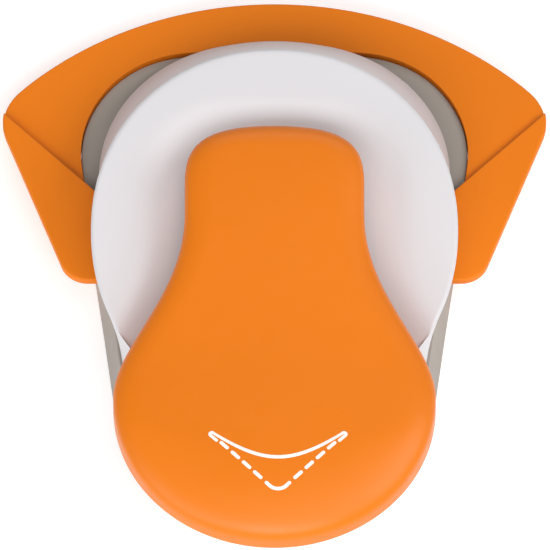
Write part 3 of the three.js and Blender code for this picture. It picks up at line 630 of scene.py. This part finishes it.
def print_strokes(lever):
    """A cut corner drawn as a V of dashes, with a curved line that joins its ends through a small hook.

    The curve is a hyperbola: sqrt(blend^2 + slope^2 x^2) - blend above its lowest point."""
    shift = np.array([lever.print_shift, 0]) / MM
    wide, lift = lever.print_width / MM / 2, lever.print_proud / MM
    apex, strokes = PRINT["apex_y"], []

    def add(path, half_width, height=lift):
        half_width = np.broadcast_to(half_width, len(path)).copy()
        strokes.append((stroke(lever, path + shift, half_width, height), True, False))

    across = np.linspace(-PRINT["apex_half"], PRINT["apex_half"], 33)
    bend = PRINT["apex_radius"] * math.sqrt(0.5)
    depth = apex + PRINT["apex_radius"] * math.sqrt(2)
    arc = depth - np.sqrt(np.maximum(PRINT["apex_radius"] ** 2 - across**2, 0))
    add(np.stack([across, np.where(np.abs(across) < bend, arc, apex + np.abs(across))], -1), wide)
    for number in range(PRINT["dashes"]):
        middle = PRINT["first_dash"] + number * PRINT["dash_pitch"]
        x = np.linspace(middle - PRINT["dash_half"], middle + PRINT["dash_half"], 6)
        add(np.stack([x, apex + x], -1), wide)
        add(np.stack([-x, apex + x], -1), wide)
    x = np.linspace(-PRINT["arc_half"], PRINT["arc_half"], 121)
    blend = PRINT["arc_blend"]
    y = PRINT["arc_y"] + np.sqrt(blend**2 + (PRINT["arc_slope"] * x) ** 2) - blend
    width = PRINT["arc_width"] - PRINT["arc_taper"] * (np.abs(x) / PRINT["arc_half"]) ** 2
    add(np.stack([x, y], -1), wide * width, lift * PRINT["arc_lift"])
    leg = np.array([1, 1]) * math.sqrt(0.5)
    arm = PRINT["hook_radius"] * directions(np.linspace(*np.radians(PRINT["hook_turn"]), 12))
    loop = np.array([x[-1], y[-1]]) - arm[0] + arm
    tail = loop[-1] - leg * np.linspace(*PRINT["hook_tail"], 6)[:, None]
    hook = np.concatenate([loop, tail])
    for mirror in ((1, 1), (-1, 1)):
        add(hook * mirror, wide * PRINT["hook_width"], lift * PRINT["hook_lift"])
    return strokes


# ---------------------------------------------------------------- outlines of the body
BODY = {
    "side_y": 6.35,
    "taper": 0.129,  # half width lost for each millimetre towards the front
    "front_y": -60.5,
    "front_bow": 1.2,
    "front_radius": 28.5,
    "far_y": 77,
    "far_fall": 0.12,
    "far_radius": 31,
    "middle_radius": 110,
}
HEAD_FAR = {"far_radius": 42, "far_fall": 0.19, "far_y": 81.3, "middle_radius": 60}
HEAD_INSET = 0.8  # how far the head's rim stands inside the outline that it shares with the base
ARC_POINTS = 40  # points round each corner of the outline


def body_outline(side_x, grow, **changes):
    """Outline of the base grown by a distance: straight tapering sides, a bowed front, a pitched far
    edge."""
    body = {**BODY, **changes}
    lean = math.hypot(1, body["taper"])
    far = body["far_y"] + grow * math.hypot(1, body["far_fall"])

    def side_at(y):
        return side_x + grow * lean + body["taper"] * (y - body["side_y"])

    far_x = side_at(far) / (1 + body["taper"] * body["far_fall"])
    front = body["front_y"] - grow
    right = [
        (side_at(front), front, body["front_radius"] + grow),
        (far_x, far - body["far_fall"] * far_x, body["far_radius"] + grow),
    ]
    left = both_sides(right)[len(right) :]
    middle = body["middle_radius"]
    return rounded([(0, front - body["front_bow"], middle), *right, (0, far, middle), *left], ARC_POINTS)


# ---------------------------------------------------------------- head
HEAD_COLUMNS = 420
RIM_STEP = 5e-4  # half the angle, in radians, over which the rim's height steps
SLOT_ABOVE_FLOOR = 4.5  # the rim over the paper
WING_GAP_Z = 15.8  # the rim over the guide's wings
WING_SIDE_Y = 2.2  # where the rim steps up over the wings
HEAD_LIP = 0.25
DISC_POWER = 2.1  # of the superellipse round the flat top
ROOF_INSET = 0.4  # how much further in than the wall the roof's corner lies inside
VALLEY = {
    "neck": 23.8,  # half width beside the lever's neck
    "corner": 12,
    "widening": (-2, 48),  # distances to the front
    "deepening": (-5, 25),
    "deeper": 1.2,
}
# right side of the lever's window: x, y and radius of each corner
WINDOW = [(20.5, -19.6, 3), (20.5, 10, 4), (17.8, 16, 4), (17.8, 27.5, 4.6)]


def head_valley(head, x, y):
    """Depth of the valley that clears the lever: deepest inside the lever's outline, which widens to
    the front as a smoothstep, and fading with the distance away from it."""
    neck, corner = VALLEY["neck"], VALLEY["corner"]
    half = neck + (LEVER_HIGH[0] - neck) * smooth(*VALLEY["widening"], -y)
    dx, dy = np.abs(x) - (half - corner), y - (LEVER_HIGH[1] - corner)
    away = np.where((dx > 0) & (dy > 0), np.hypot(dx, dy), np.maximum(dx, dy)) - corner
    depth = head.valley_depth / MM + VALLEY["deeper"] * smooth(*VALLEY["deepening"], -y)
    return depth * (1 - smooth(0, head.valley_width / MM, away))


def head_shell(head, side_x):
    """Closed grid of the hollow head, in columns round the middle of its flat top.

    Rows run from the lever window out over the sloping top, round its edge, down the skirt on straight
    lines to the rim, and back inside. The rim's height steps up over the guide's wings and again over
    the paper."""
    centre = np.array([0, head.disc_y / MM])
    half_x, half_y = head.disc_half_x / MM, head.disc_half_y / MM
    wall = head.wall / MM
    rim_outline = body_outline(side_x, -HEAD_INSET, **HEAD_FAR)
    inner_outline = body_outline(side_x, -HEAD_INSET - wall, **HEAD_FAR)
    slope = math.tan(head.slope)

    def outwards(distance, turn):
        return centre + distance[..., None] * directions(turn)

    # two columns where the rim's height steps, found on a closely spaced half turn
    probe = np.linspace(-math.pi / 2, math.pi / 2, 4001)
    mid = outwards(reach(rim_outline, centre, probe) - wall / 2, probe)
    paper_turn = np.interp(0, mid[:, 1] - mid[:, 0] - FENCE_APEX_Y, probe)
    wing_turn = np.interp(WING_SIDE_Y, mid[:, 1], probe)
    steps = np.array([paper_turn, wing_turn])
    steps = np.concatenate([steps, math.pi - steps])
    turn = np.sort(np.concatenate([circle(HEAD_COLUMNS), steps - RIM_STEP, steps + RIM_STEP]))
    mirrored = np.minimum(turn, math.pi - turn)
    rim_z = np.where(mirrored > paper_turn, FLOOR_Z + SLOT_ABOVE_FLOOR, WING_GAP_Z)
    rim_z = np.where(mirrored < wing_turn, HEAD_LOW[2], rim_z)

    def disc_reach(inset):
        across = (np.abs(np.cos(turn)) / (half_x - inset)) ** DISC_POWER
        along = (np.abs(np.sin(turn)) / (half_y - inset)) ** DISC_POWER
        return (across + along) ** (-1 / DISC_POWER)

    def disc_z(y):
        return head.disc_z / MM + slope * (y - centre[1])

    near_radius = head.edge_radius / MM
    radius = near_radius + (head.far_edge_radius / MM - near_radius) * smooth(0.1, 0.9, np.sin(turn))
    window = reach(rounded(both_sides(WINDOW), 12), centre, turn)
    edge = disc_reach(0)
    share = np.linspace(0, 1, 40)[:, None] ** 0.9
    top_plan = outwards(window + share * (edge - radius - window), turn)
    top_z = disc_z(top_plan[..., 1]) - head_valley(head, top_plan[..., 0], top_plan[..., 1])
    bend = np.linspace(0, math.pi / 2, 8)[1:, None]
    edge_plan = outwards(edge - radius * (1 - np.sin(bend)), turn)
    dip = head_valley(head, edge_plan[..., 0], edge_plan[..., 1])
    edge_z = disc_z(edge_plan[..., 1]) - dip * np.cos(bend) - radius * (1 - np.cos(bend))
    # the skirt, ruled from the edge to the lowest rim and stopped at the rim's own height
    rim, inner = reach(rim_outline, centre, turn), reach(inner_outline, centre, turn)
    inner_edge, lowest = disc_reach(wall + ROOF_INSET), HEAD_LOW[2]
    inner_top = disc_z(centre[1] + inner_edge * np.sin(turn)) - radius - wall

    def ruled(start, start_z, end, height):
        along = (start_z - height) / (start_z - lowest)
        return rings(outwards(start + along * (end - start), turn), height)

    down = np.linspace(0, 1, 12)[1:, None]
    skirt = ruled(edge, edge_z[-1], rim, edge_z[-1] + down * (rim_z + HEAD_LIP - edge_z[-1]))
    foot = ruled(edge, edge_z[-1], rim - HEAD_LIP, rim_z[None])
    inside_z = rim_z + np.linspace(0, 1, 8)[:, None] * (inner_top - rim_z)
    inside = ruled(inner_edge, inner_top, inner, inside_z)
    back = np.linspace(1, 0, 16)[1:, None]
    roof_plan = outwards(window + back * (inner_edge - window), turn)
    roof_dip = head_valley(head, roof_plan[..., 0], roof_plan[..., 1])
    roof_z = disc_z(roof_plan[..., 1]) - roof_dip - radius - wall
    top, rim_edge, roof = rings(top_plan, top_z), rings(edge_plan, edge_z), rings(roof_plan, roof_z)
    return np.concatenate([top, rim_edge, skirt, foot, inside, roof]), True, True


# ---------------------------------------------------------------- base
BASE_COLUMNS = 420
BASE_CENTRE = np.array([0, -3.0])
BASE_LIP = 0.3
FAR_DRAFT = 0.3  # what is left of the draft beside the far half of the deck
UPRIGHT_SIN, UPRIGHT_COS = (-0.15, 0.4), (0.05, 0.55)  # directions between which the wall stands up
DECK_THICKNESS = 2.4
DECK_FALL = 1.5  # how far the deck lies under the paper behind the die
FALL_Y, FALL_INSIDE = (16.5, 22), (0.3, 2.5)  # where it falls, along Y and inside the line of the fences
# half width, front, far edge and corner radius of the openings under the deck
LEDGE, LEDGE_Z = (31.5, -25.5, 19.5, 1.2), 8.2
CHIP_HOLE = (22, -18, 10, 1)
DIE_CORNER = 1.2


def base_plan(base, turn, level, inset=0.0):
    """Points of the base's outside at a level, moved in by an inset. It leans out towards its foot by
    the draft, except beside the far half of the deck, where it stands nearly upright."""
    share = (FLOOR_Z - level) / (FLOOR_Z - BASE_LOW[2])
    side_x, draft = base.side_x / MM, base.draft / MM
    upright = smooth(*UPRIGHT_SIN, np.sin(turn)) * smooth(*UPRIGHT_COS, np.abs(np.cos(turn)))
    leaning = reach(body_outline(side_x, draft * share - inset), BASE_CENTRE, turn)
    steep = reach(body_outline(side_x, draft - FAR_DRAFT * (1 - share) - inset), BASE_CENTRE, turn)
    distance = leaning + upright * (steep - leaning)
    return BASE_CENTRE + distance[:, None] * directions(turn)


def base_shell(base):
    """Closed grid of the drafted base: rows run from the die recess out over the deck, round its edge,
    down the leaning wall, up inside, and back under the deck, the die's ledge and the chip opening."""
    turn = circle(BASE_COLUMNS)
    wall = base.wall / MM
    radius, bottom = base.edge_radius / MM, BASE_LOW[2]
    under_deck = FLOOR_Z - DECK_THICKNESS

    def wall_ring(inset, height, level):
        return rings(base_plan(base, turn, level, inset)[None], np.array([[height]]))

    def frame_ring(opening, height):
        x, front, far, corner = opening
        outline = rounded(both_sides([(x, front, corner), (x, far, corner)]), 12)
        plan = BASE_CENTRE + reach(outline, BASE_CENTRE, turn)[:, None] * directions(turn)
        return rings(plan[None], np.array([[height]]))

    recess = (DIE_HIGH[0] + CLEARANCE, DIE_LOW[1] - CLEARANCE, DIE_HIGH[1] + CLEARANCE, DIE_CORNER)
    deck_in, deck_out = frame_ring(recess, FLOOR_Z), wall_ring(radius, FLOOR_Z, FLOOR_Z)
    share = np.linspace(0, 1, 36)[1:-1, None, None]
    bend = np.linspace(0, math.pi / 2, 6)[1:]
    rows = [deck_in, deck_in + share * (deck_out - deck_in), deck_out]
    for a in bend:
        inset, drop = radius * (1 - math.sin(a)), radius * (1 - math.cos(a))
        rows.append(wall_ring(inset, FLOOR_Z - drop, FLOOR_Z))
    for ring_row in rows[1:]:
        x, y = ring_row[..., 0], ring_row[..., 1]
        inside = (y - np.abs(x) - FENCE_APEX_Y) * math.sqrt(0.5)
        ring_row[..., 2] -= DECK_FALL * smooth(*FALL_Y, y) * smooth(*FALL_INSIDE, inside)
    top = rows[-1][..., 2]
    for down in np.linspace(0, 1, 6)[1:]:
        level = wall_ring(0, 0, FLOOR_Z - down * (FLOOR_Z - radius - bottom - BASE_LIP))
        level[..., 2] = top + down * (bottom + BASE_LIP - top)
        rows.append(level)
    rows += [wall_ring(BASE_LIP, bottom, bottom), wall_ring(wall, bottom, bottom)]
    rows += [wall_ring(wall, z, z) for z in np.linspace(bottom, under_deck, 4)[1:]]
    rows += [frame_ring(LEDGE, under_deck), frame_ring(LEDGE, LEDGE_Z)]
    rows += [frame_ring(CHIP_HOLE, LEDGE_Z), frame_ring(CHIP_HOLE, under_deck - CLEARANCE)]
    rows += [frame_ring(recess, under_deck - CLEARANCE)]
    return np.concatenate(rows), True, True


# ---------------------------------------------------------------- paper guide
WING_FRONT = {"x": 54.8, "y": 2.6, "radius": 7.5}  # the wing's two corners
WING_OUTER = {"x": 75, "y": 56.2, "radius": 15}
FAR_ARC_END = {"x": 64, "y": 62.2}  # the far arc is drawn up to here
WING_BOTTOM = 13.3
BODY_GAP = 0.15  # the guide stands off the deck's edge by this
STRIP_INSET = 1.2  # the strip ends this far inside the wing's outermost point
STRIP_GAP = 2.5  # and stands off by this much more, clear of the leaning wall
STRIP_SUNK = 0.03  # its face lies this far behind the wing's fence, so the two faces stay apart
FLANGE = {"depth": 3.7, "thickness": 1.5, "edge": 0.15}  # the wall under the fan's inner edge
FAN_TURN = (135.3, 44.7)  # degrees, a little under the strips at both ends
FOOT_EDGE = 0.3
WING_FOOT_EDGE, STRIP_EDGE = 0.2, 0.1
STRIP_DROP = 1  # the strip's top lies this far under the wing's


def guide_outline(guide):
    """Whole outline of the guide: a straight front, slanting sides with rounded corners and a far
    arc."""
    radius = guide.far_radius / MM
    middle = GUIDE_HIGH[1] - radius
    last = math.atan2(FAR_ARC_END["x"], FAR_ARC_END["y"] - middle)
    turn = np.linspace(last, -last, 60)
    arc = [(radius * math.sin(a), middle + radius * math.cos(a), 0.0) for a in turn]
    right = [tuple(WING_FRONT.values()), tuple(WING_OUTER.values())]
    return rounded([*right, *arc, *both_sides(right)[2:]], 20)


def guide_fan(guide, base, outline):
    """The fan-shaped floor: a rounded slab section carried round the point where the fences would meet.
    Its inner side hangs down as a wall beside the base and leans with it."""
    apex = np.array([0, FENCE_APEX_Y])
    turn = np.linspace(*np.radians(FAN_TURN), 260)
    beyond = outline[outline[:, 1] > WING_FRONT["y"] + WING_FRONT["radius"]]
    far = reach(beyond, apex, turn, closed=False)
    low, edge = GUIDE_LOW[2], guide.edge_radius / MM
    foot = low - FLANGE["depth"]

    round_base = np.linspace(-math.pi, math.pi, 720, endpoint=False)

    def beside_base(level):
        return reach(base_plan(base, round_base, level), apex, turn) + BODY_GAP

    inset, height = slab_profile(low, FLOOR_Z, edge, FOOT_EDGE)
    near_inset, near_height = slab_profile(foot, FLOOR_Z, FLANGE["edge"], FOOT_EDGE)
    near = np.array([beside_base(level) + step for step, level in zip(near_inset, near_height)])
    start, end = near[-1], far - inset[-1]
    share = np.array([0.01, 0.3, 0.6, 0.99])[:, None]
    behind = [beside_base(level) + FLANGE["thickness"] for level in (low, foot)]
    distance = np.concatenate([behind, near, start + share * (end - start), far - inset[::-1, None]])
    heights = np.concatenate([[low, foot], near_height, np.full(len(share), FLOOR_Z), height[::-1]])
    fan = rings(apex + distance[..., None] * directions(turn), heights[:, None])
    ends = [np.broadcast_to(fan[:, k].mean(0), fan[:, :1].shape) for k in (0, -1)]
    return np.concatenate([ends[0], fan, ends[1]], 1), True, False


def guide_wings(guide, outline, side_x):
    """Right and left wing: a rounded plate on the part of the outline outside the fence line, and a
    deeper strip along the fence that reaches down beside the base."""
    wing = clip(outline, -1, 1, FENCE_APEX_Y)
    taper = BODY["taper"]
    body_side = side_x + BODY_GAP + STRIP_GAP - taper * BODY["side_y"]
    strip = clip(outline, 1, -1, guide.fence_wall / MM - FENCE_APEX_Y)
    strip = clip(strip, -1, 1, FENCE_APEX_Y - STRIP_SUNK)
    strip = clip(clip(strip, -1, taper, -body_side), 1, 0, GUIDE_HIGH[0] - STRIP_INSET)
    edge, top = guide.edge_radius / MM, GUIDE_HIGH[2]
    grids = []
    for mirror in ((1, 1), (-1, 1)):
        grids.append(slab(wing * mirror, WING_BOTTOM, top, edge, WING_FOOT_EDGE))
        grids.append(slab(strip * mirror, GUIDE_LOW[2], top - STRIP_DROP, STRIP_EDGE, FOOT_EDGE))
    return grids


# ---------------------------------------------------------------- springs
SPRING_MEAN_RADIUS = 2.95
END_CLOSING = 0.075  # how strongly the pitch closes at the ends, as a share of the height
WIRE_SIDES = 12
TURN_POINTS = 40


def spring_coil(spring, x, y):
    """Closed grid of a compression spring: a round wire carried along a helix whose pitch closes at
    both ends.

    The height along the coil blends a small pitch at the ends into an even one, as t minus a sine of 2
    pi t."""
    wire = spring.wire_radius / MM
    low, high = SPRING_LOW[2] + wire, SPRING_HIGH[2] - wire
    t = np.linspace(0, 1, int(spring.turns * TURN_POINTS) + 1)
    turn = 2 * math.pi * spring.turns * t
    height = low + (high - low) * (t - END_CLOSING * np.sin(2 * math.pi * t))
    line = rings(np.array([x, y]) + SPRING_MEAN_RADIUS * directions(turn[None]), height)[0]
    run = np.gradient(line, axis=0)
    run /= np.linalg.norm(run, axis=1)[:, None]
    out = np.stack([np.cos(turn), np.sin(turn), np.zeros_like(turn)], -1)
    up = np.cross(run, out)
    around = np.linspace(0, 2 * math.pi, WIRE_SIDES, endpoint=False)
    ring = line + wire * (np.cos(around)[:, None, None] * out + np.sin(around)[:, None, None] * up)
    ends = [np.broadcast_to(line[k], (WIRE_SIDES, 1, 3)) for k in (0, -1)]
    return np.concatenate([ends[0], ring, ends[1]], 1), True, False


# ---------------------------------------------------------------- tools in the sidebar
def sizes(context):
    """All the sizes and colours, from the scene."""
    return context.scene.corner_punch


def settings_group(group, name, description):
    """A group of sizes inside the punch's settings."""
    return bpy.props.PointerProperty(type=group, name=name, description=description)


class PunchSettings(bpy.types.PropertyGroup):
    """Every group of sizes and colours of the punch."""

    lever: settings_group(PunchLeverSizes, "Lever", "Sizes of the lever")
    head: settings_group(PunchHeadSizes, "Head", "Sizes of the head")
    base: settings_group(PunchBaseSizes, "Base", "Sizes of the base")
    guide: settings_group(PunchGuideSizes, "Guide", "Sizes of the guide")
    spring: settings_group(PunchSpringSizes, "Springs", "Sizes of the springs")
    colours: settings_group(PunchColours, "Colours", "Colours of the finishes")
    stage: settings_group(PunchStageSizes, "Stage", "Camera and lamps")


# each lamp's power property, place, height of its aim on the middle axis, width and depth, in metres
LAMPS = {
    "lamp_front": ("key_power", (0, -0.9, 0.92), 0.02, 1.0, 0.4),
    "lamp_top": ("top_power", (0.05, -0.2, 1.15), 0.02, 0.6, 0.4),
    "lamp_side": ("side_power", (0.55, -0.1, 0.6), 0.02, 0.45, 0.45),
    "lamp_left": ("fill_power", (-0.6, -0.45, 0.45), 0.02, 0.45, 0.45),
    "lamp_back": ("back_power", (0.1, 0.75, 0.55), 0.03, 0.7, 0.12),
}
FLOOR_GREY, FLOOR_GLOW = 0.8, 0.45
SENSOR_WIDTH = 36  # millimetres, as the camera counts it
WHITE = (1, 1, 1, 1)


def lamp(name, energy, place, aim, width, depth):
    """A rectangular lamp at a place, turned to shine on an aim point, hidden from the camera itself."""
    light = bpy.data.lights.new(name, "AREA")
    light.shape, light.size, light.size_y, light.energy = "RECTANGLE", width, depth, energy
    holder = bpy.data.objects.new(name, light)
    bpy.context.scene.collection.objects.link(holder)
    holder.location = place
    holder.rotation_euler = (Vector(aim) - Vector(place)).to_track_quat("-Z", "Y").to_euler()
    holder.visible_camera = False


class CORNERPUNCH_OT_stage(bpy.types.Operator):
    """Make the pale floor, the soft lamps and the camera"""

    bl_idname = "corner_punch.stage"
    bl_label = "Stage"

    def execute(self, context):
        stage = sizes(context).stage
        half = stage.floor_half
        mesh = bpy.data.meshes.new("floor")
        corners = [(-half, -half, 0), (half, -half, 0), (half, half, 0), (-half, half, 0)]
        mesh.from_pydata(corners, [], [(0, 1, 2, 3)])
        floor = bpy.data.objects.new("floor", mesh)
        context.scene.collection.objects.link(floor)
        pale = bpy.data.materials.new("pale_floor")
        shader = nodes_of(pale)[1]
        shader.inputs["Base Color"].default_value = (FLOOR_GREY, FLOOR_GREY, FLOOR_GREY, 1)
        shader.inputs["Emission Color"].default_value = WHITE
        shader.inputs["Emission Strength"].default_value = FLOOR_GLOW
        shader.inputs["Roughness"].default_value = 0.9
        shader.inputs["Specular IOR Level"].default_value = 0.0
        cover(floor, pale)
        world = bpy.data.worlds.new("studio")
        world.use_nodes = True
        air = world.node_tree.nodes["Background"]
        air.inputs["Color"].default_value = WHITE
        air.inputs["Strength"].default_value = stage.air
        context.scene.world = world
        for name, (energy, place, aim_z, width, depth) in LAMPS.items():
            lamp(name, getattr(stage, energy), place, (0, 0, aim_z), width, depth)
        camera = bpy.data.objects.new("camera", bpy.data.cameras.new("camera"))
        context.scene.collection.objects.link(camera)
        aim = Vector((stage.aim_x, stage.aim_y, 0))
        back = Vector((0, -math.cos(stage.elevation), math.sin(stage.elevation)))
        camera.location = aim + back * stage.distance
        camera.rotation_mode = "QUATERNION"
        camera.rotation_quaternion = (-back).to_track_quat("-Z", "Y")
        camera.data.sensor_width = SENSOR_WIDTH
        camera.data.lens = SENSOR_WIDTH * stage.distance / stage.view_width
        camera.data.clip_start, camera.data.clip_end = 0.1, 20
        context.scene.camera = camera
        context.scene.view_settings.view_transform = "Standard"
        return {"FINISHED"}


class CORNERPUNCH_OT_lever(bpy.types.Operator):
    """Make the orange palm lever"""

    bl_idname = "corner_punch.lever"
    bl_label = "Lever"

    def execute(self, context):
        settings = sizes(context)
        grid = lever_shell(settings.lever)
        shell = make_piece("lever_shell", [grid], "lever", ["lever_cover"], sharp=50)
        cover(shell, plastic("orange_plastic_satin", settings.colours.lever_orange, 0.42, specular=0.4))
        return {"FINISHED"}


class CORNERPUNCH_OT_print(bpy.types.Operator):
    """Make the printed cut-corner sign on the pad"""

    bl_idname = "corner_punch.print"
    bl_label = "Print"

    def execute(self, context):
        settings = sizes(context)
        ink = make_piece("lever_print", print_strokes(settings.lever), "lever", sharp=60)
        finish = plastic("print_ink", settings.colours.ink, 0.5, grain=5200, depth=3e-6, contrast=0.02)
        cover(ink, finish)
        return {"FINISHED"}


class CORNERPUNCH_OT_head(bpy.types.Operator):
    """Make the white head with its valley, slot and window"""

    bl_idname = "corner_punch.head"
    bl_label = "Head"

    def execute(self, context):
        settings = sizes(context)
        grid = head_shell(settings.head, settings.base.side_x / MM)
        shell = make_piece("head_shell", [grid], "body", ["upper_housing"])
        cover(shell, plastic("white_plastic_satin", settings.colours.white, 0.42, contrast=0.008))
        return {"FINISHED"}


class CORNERPUNCH_OT_base(bpy.types.Operator):
    """Make the grey base with its die recess"""

    bl_idname = "corner_punch.base"
    bl_label = "Base"

    def execute(self, context):
        settings = sizes(context)
        grid = base_shell(settings.base)
        shell = make_piece("base_shell", [grid], "body", ["base_housing"])
        # its colour carries painted orange bounce light over the base's own grey
        cover(shell, plastic("grey_plastic_matt", settings.colours.grey, 0.52, contrast=0.012))
        return {"FINISHED"}


class CORNERPUNCH_OT_guide(bpy.types.Operator):
    """Make the orange paper guide from its fan, wings and fence strips"""

    bl_idname = "corner_punch.guide"
    bl_label = "Paper guide"

    def execute(self, context):
        settings = sizes(context)
        guide, base = settings.guide, settings.base
        outline = guide_outline(guide)
        grids = [guide_fan(guide, base, outline), *guide_wings(guide, outline, base.side_x / MM)]
        shell = make_piece("guide_shell", grids, "body", ["paper_guide"])
        cover(shell, plastic("orange_plastic_guide", settings.colours.orange, 0.5, specular=0.25))
        return {"FINISHED"}


class CORNERPUNCH_OT_springs(bpy.types.Operator):
    """Make the two return springs as coils at their resting length"""

    bl_idname = "corner_punch.springs"
    bl_label = "Return springs"

    def execute(self, context):
        settings = sizes(context)
        wire = metal("spring_wire", settings.colours.steel, 0.3, stretch=(1, 1, 6))
        for number in (1, 2):
            low, high = box_mm(f"guide_post_{number}")
            x, y = (low + high)[:2] / 2
            replaced = [f"return_spring_{number}"]
            grid = spring_coil(settings.spring, x, y)
            coil = make_piece(f"spring_coil_{number}", [grid], "body", replaced, sharp=50)
            cover(coil, wire)
            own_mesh(coil)
        return {"FINISHED"}


class CORNERPUNCH_OT_finishes(bpy.types.Operator):
    """Give the carried-over CAD pieces their finishes and soft edges"""

    bl_idname = "corner_punch.finishes"
    bl_label = "Finishes"

    def execute(self, context):
        colours = sizes(context).colours
        dark = plastic("dark_plastic_matt", colours.dark, 0.55)
        moulded = {"grain": 1800, "depth": 2e-5, "contrast": 0.05, "specular": 0.3}
        rubber = plastic("rubber_foot", colours.rubber, 0.85, **moulded)
        plate = metal("plated_sheet", colours.steel, 0.34, stretch=(1, 8, 1))
        tool = metal("ground_tool_steel", colours.tool_steel, 0.28, stretch=(10, 1, 1))
        bright = metal("plated_screw", colours.steel, 0.26, stretch=(1, 1, 1))
        kinds = [  # starts of the nodes' names, their finish and the width of their rounded edges
            (("bottom_plate", "lever_core", "punch_carrier"), dark, 0.3),
            (("foot_pad",), rubber, 0.3),
            (("stripper_plate", "pivot_frame", "frame_spacer"), plate, 0.15),
            (("die_plate", "punch_blade", "nose_roller", "pivot_clip"), tool, 0.12),
            (("pivot_pin", "guide_post", "roller_pin"), plate, 0.12),
            (("die_screw", "frame_screw", "housing_screw", "lever_screw", "blade_screw"), bright, 0.15),
        ]
        for name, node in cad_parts.items():
            if node.hide_render:
                continue
            found = [(material, width) for starts, material, width in kinds if name.startswith(starts)]
            if len(found) != 1:
                raise RuntimeError(f"{name} has {len(found)} finishes")
            material, width = found[0]
            cover(node, material)
            soften_edges(node, width)
        return {"FINISHED"}


class CORNERPUNCH_PT_panel(bpy.types.Panel):
    """Sidebar panel with every tool of the punch"""

    bl_label = "Corner Punch"
    bl_idname = "CORNERPUNCH_PT_panel"
    bl_space_type = "VIEW_3D"
    bl_region_type = "UI"
    bl_category = "Corner Punch"

    def draw(self, context):
        for operator in OPERATORS:
            self.layout.operator(operator.bl_idname)
        settings = sizes(context)
        for group in ("lever", "head", "base", "guide", "spring", "colours", "stage"):
            part = getattr(settings, group)
            box = self.layout.box()
            box.label(text=group.capitalize())
            for name in part.__annotations__:
                box.prop(part, name)


OPERATORS = (
    CORNERPUNCH_OT_stage,
    CORNERPUNCH_OT_lever,
    CORNERPUNCH_OT_print,
    CORNERPUNCH_OT_head,
    CORNERPUNCH_OT_base,
    CORNERPUNCH_OT_guide,
    CORNERPUNCH_OT_springs,
    CORNERPUNCH_OT_finishes,
)
GROUPS = (
    PunchLeverSizes,
    PunchHeadSizes,
    PunchBaseSizes,
    PunchGuideSizes,
    PunchSpringSizes,
    PunchColours,
    PunchStageSizes,
    PunchSettings,
)


def register():
    """Registers the groups, the tools and the panel."""
    for item in (*GROUPS, *OPERATORS, CORNERPUNCH_PT_panel):
        bpy.utils.register_class(item)
    bpy.types.Scene.corner_punch = bpy.props.PointerProperty(
        type=PunchSettings, name="Corner punch", description="Sizes and colours of the corner punch"
    )


def unregister():
    """Takes them away again, in the other order."""
    del bpy.types.Scene.corner_punch
    for item in reversed((*GROUPS, *OPERATORS, CORNERPUNCH_PT_panel)):
        bpy.utils.unregister_class(item)


def main():
    """Runs every tool in order."""
    register()
    for operator in OPERATORS:
        group, name = operator.bl_idname.split(".")
        getattr(getattr(bpy.ops, group), name)()


if __name__ == "__main__":
    main()
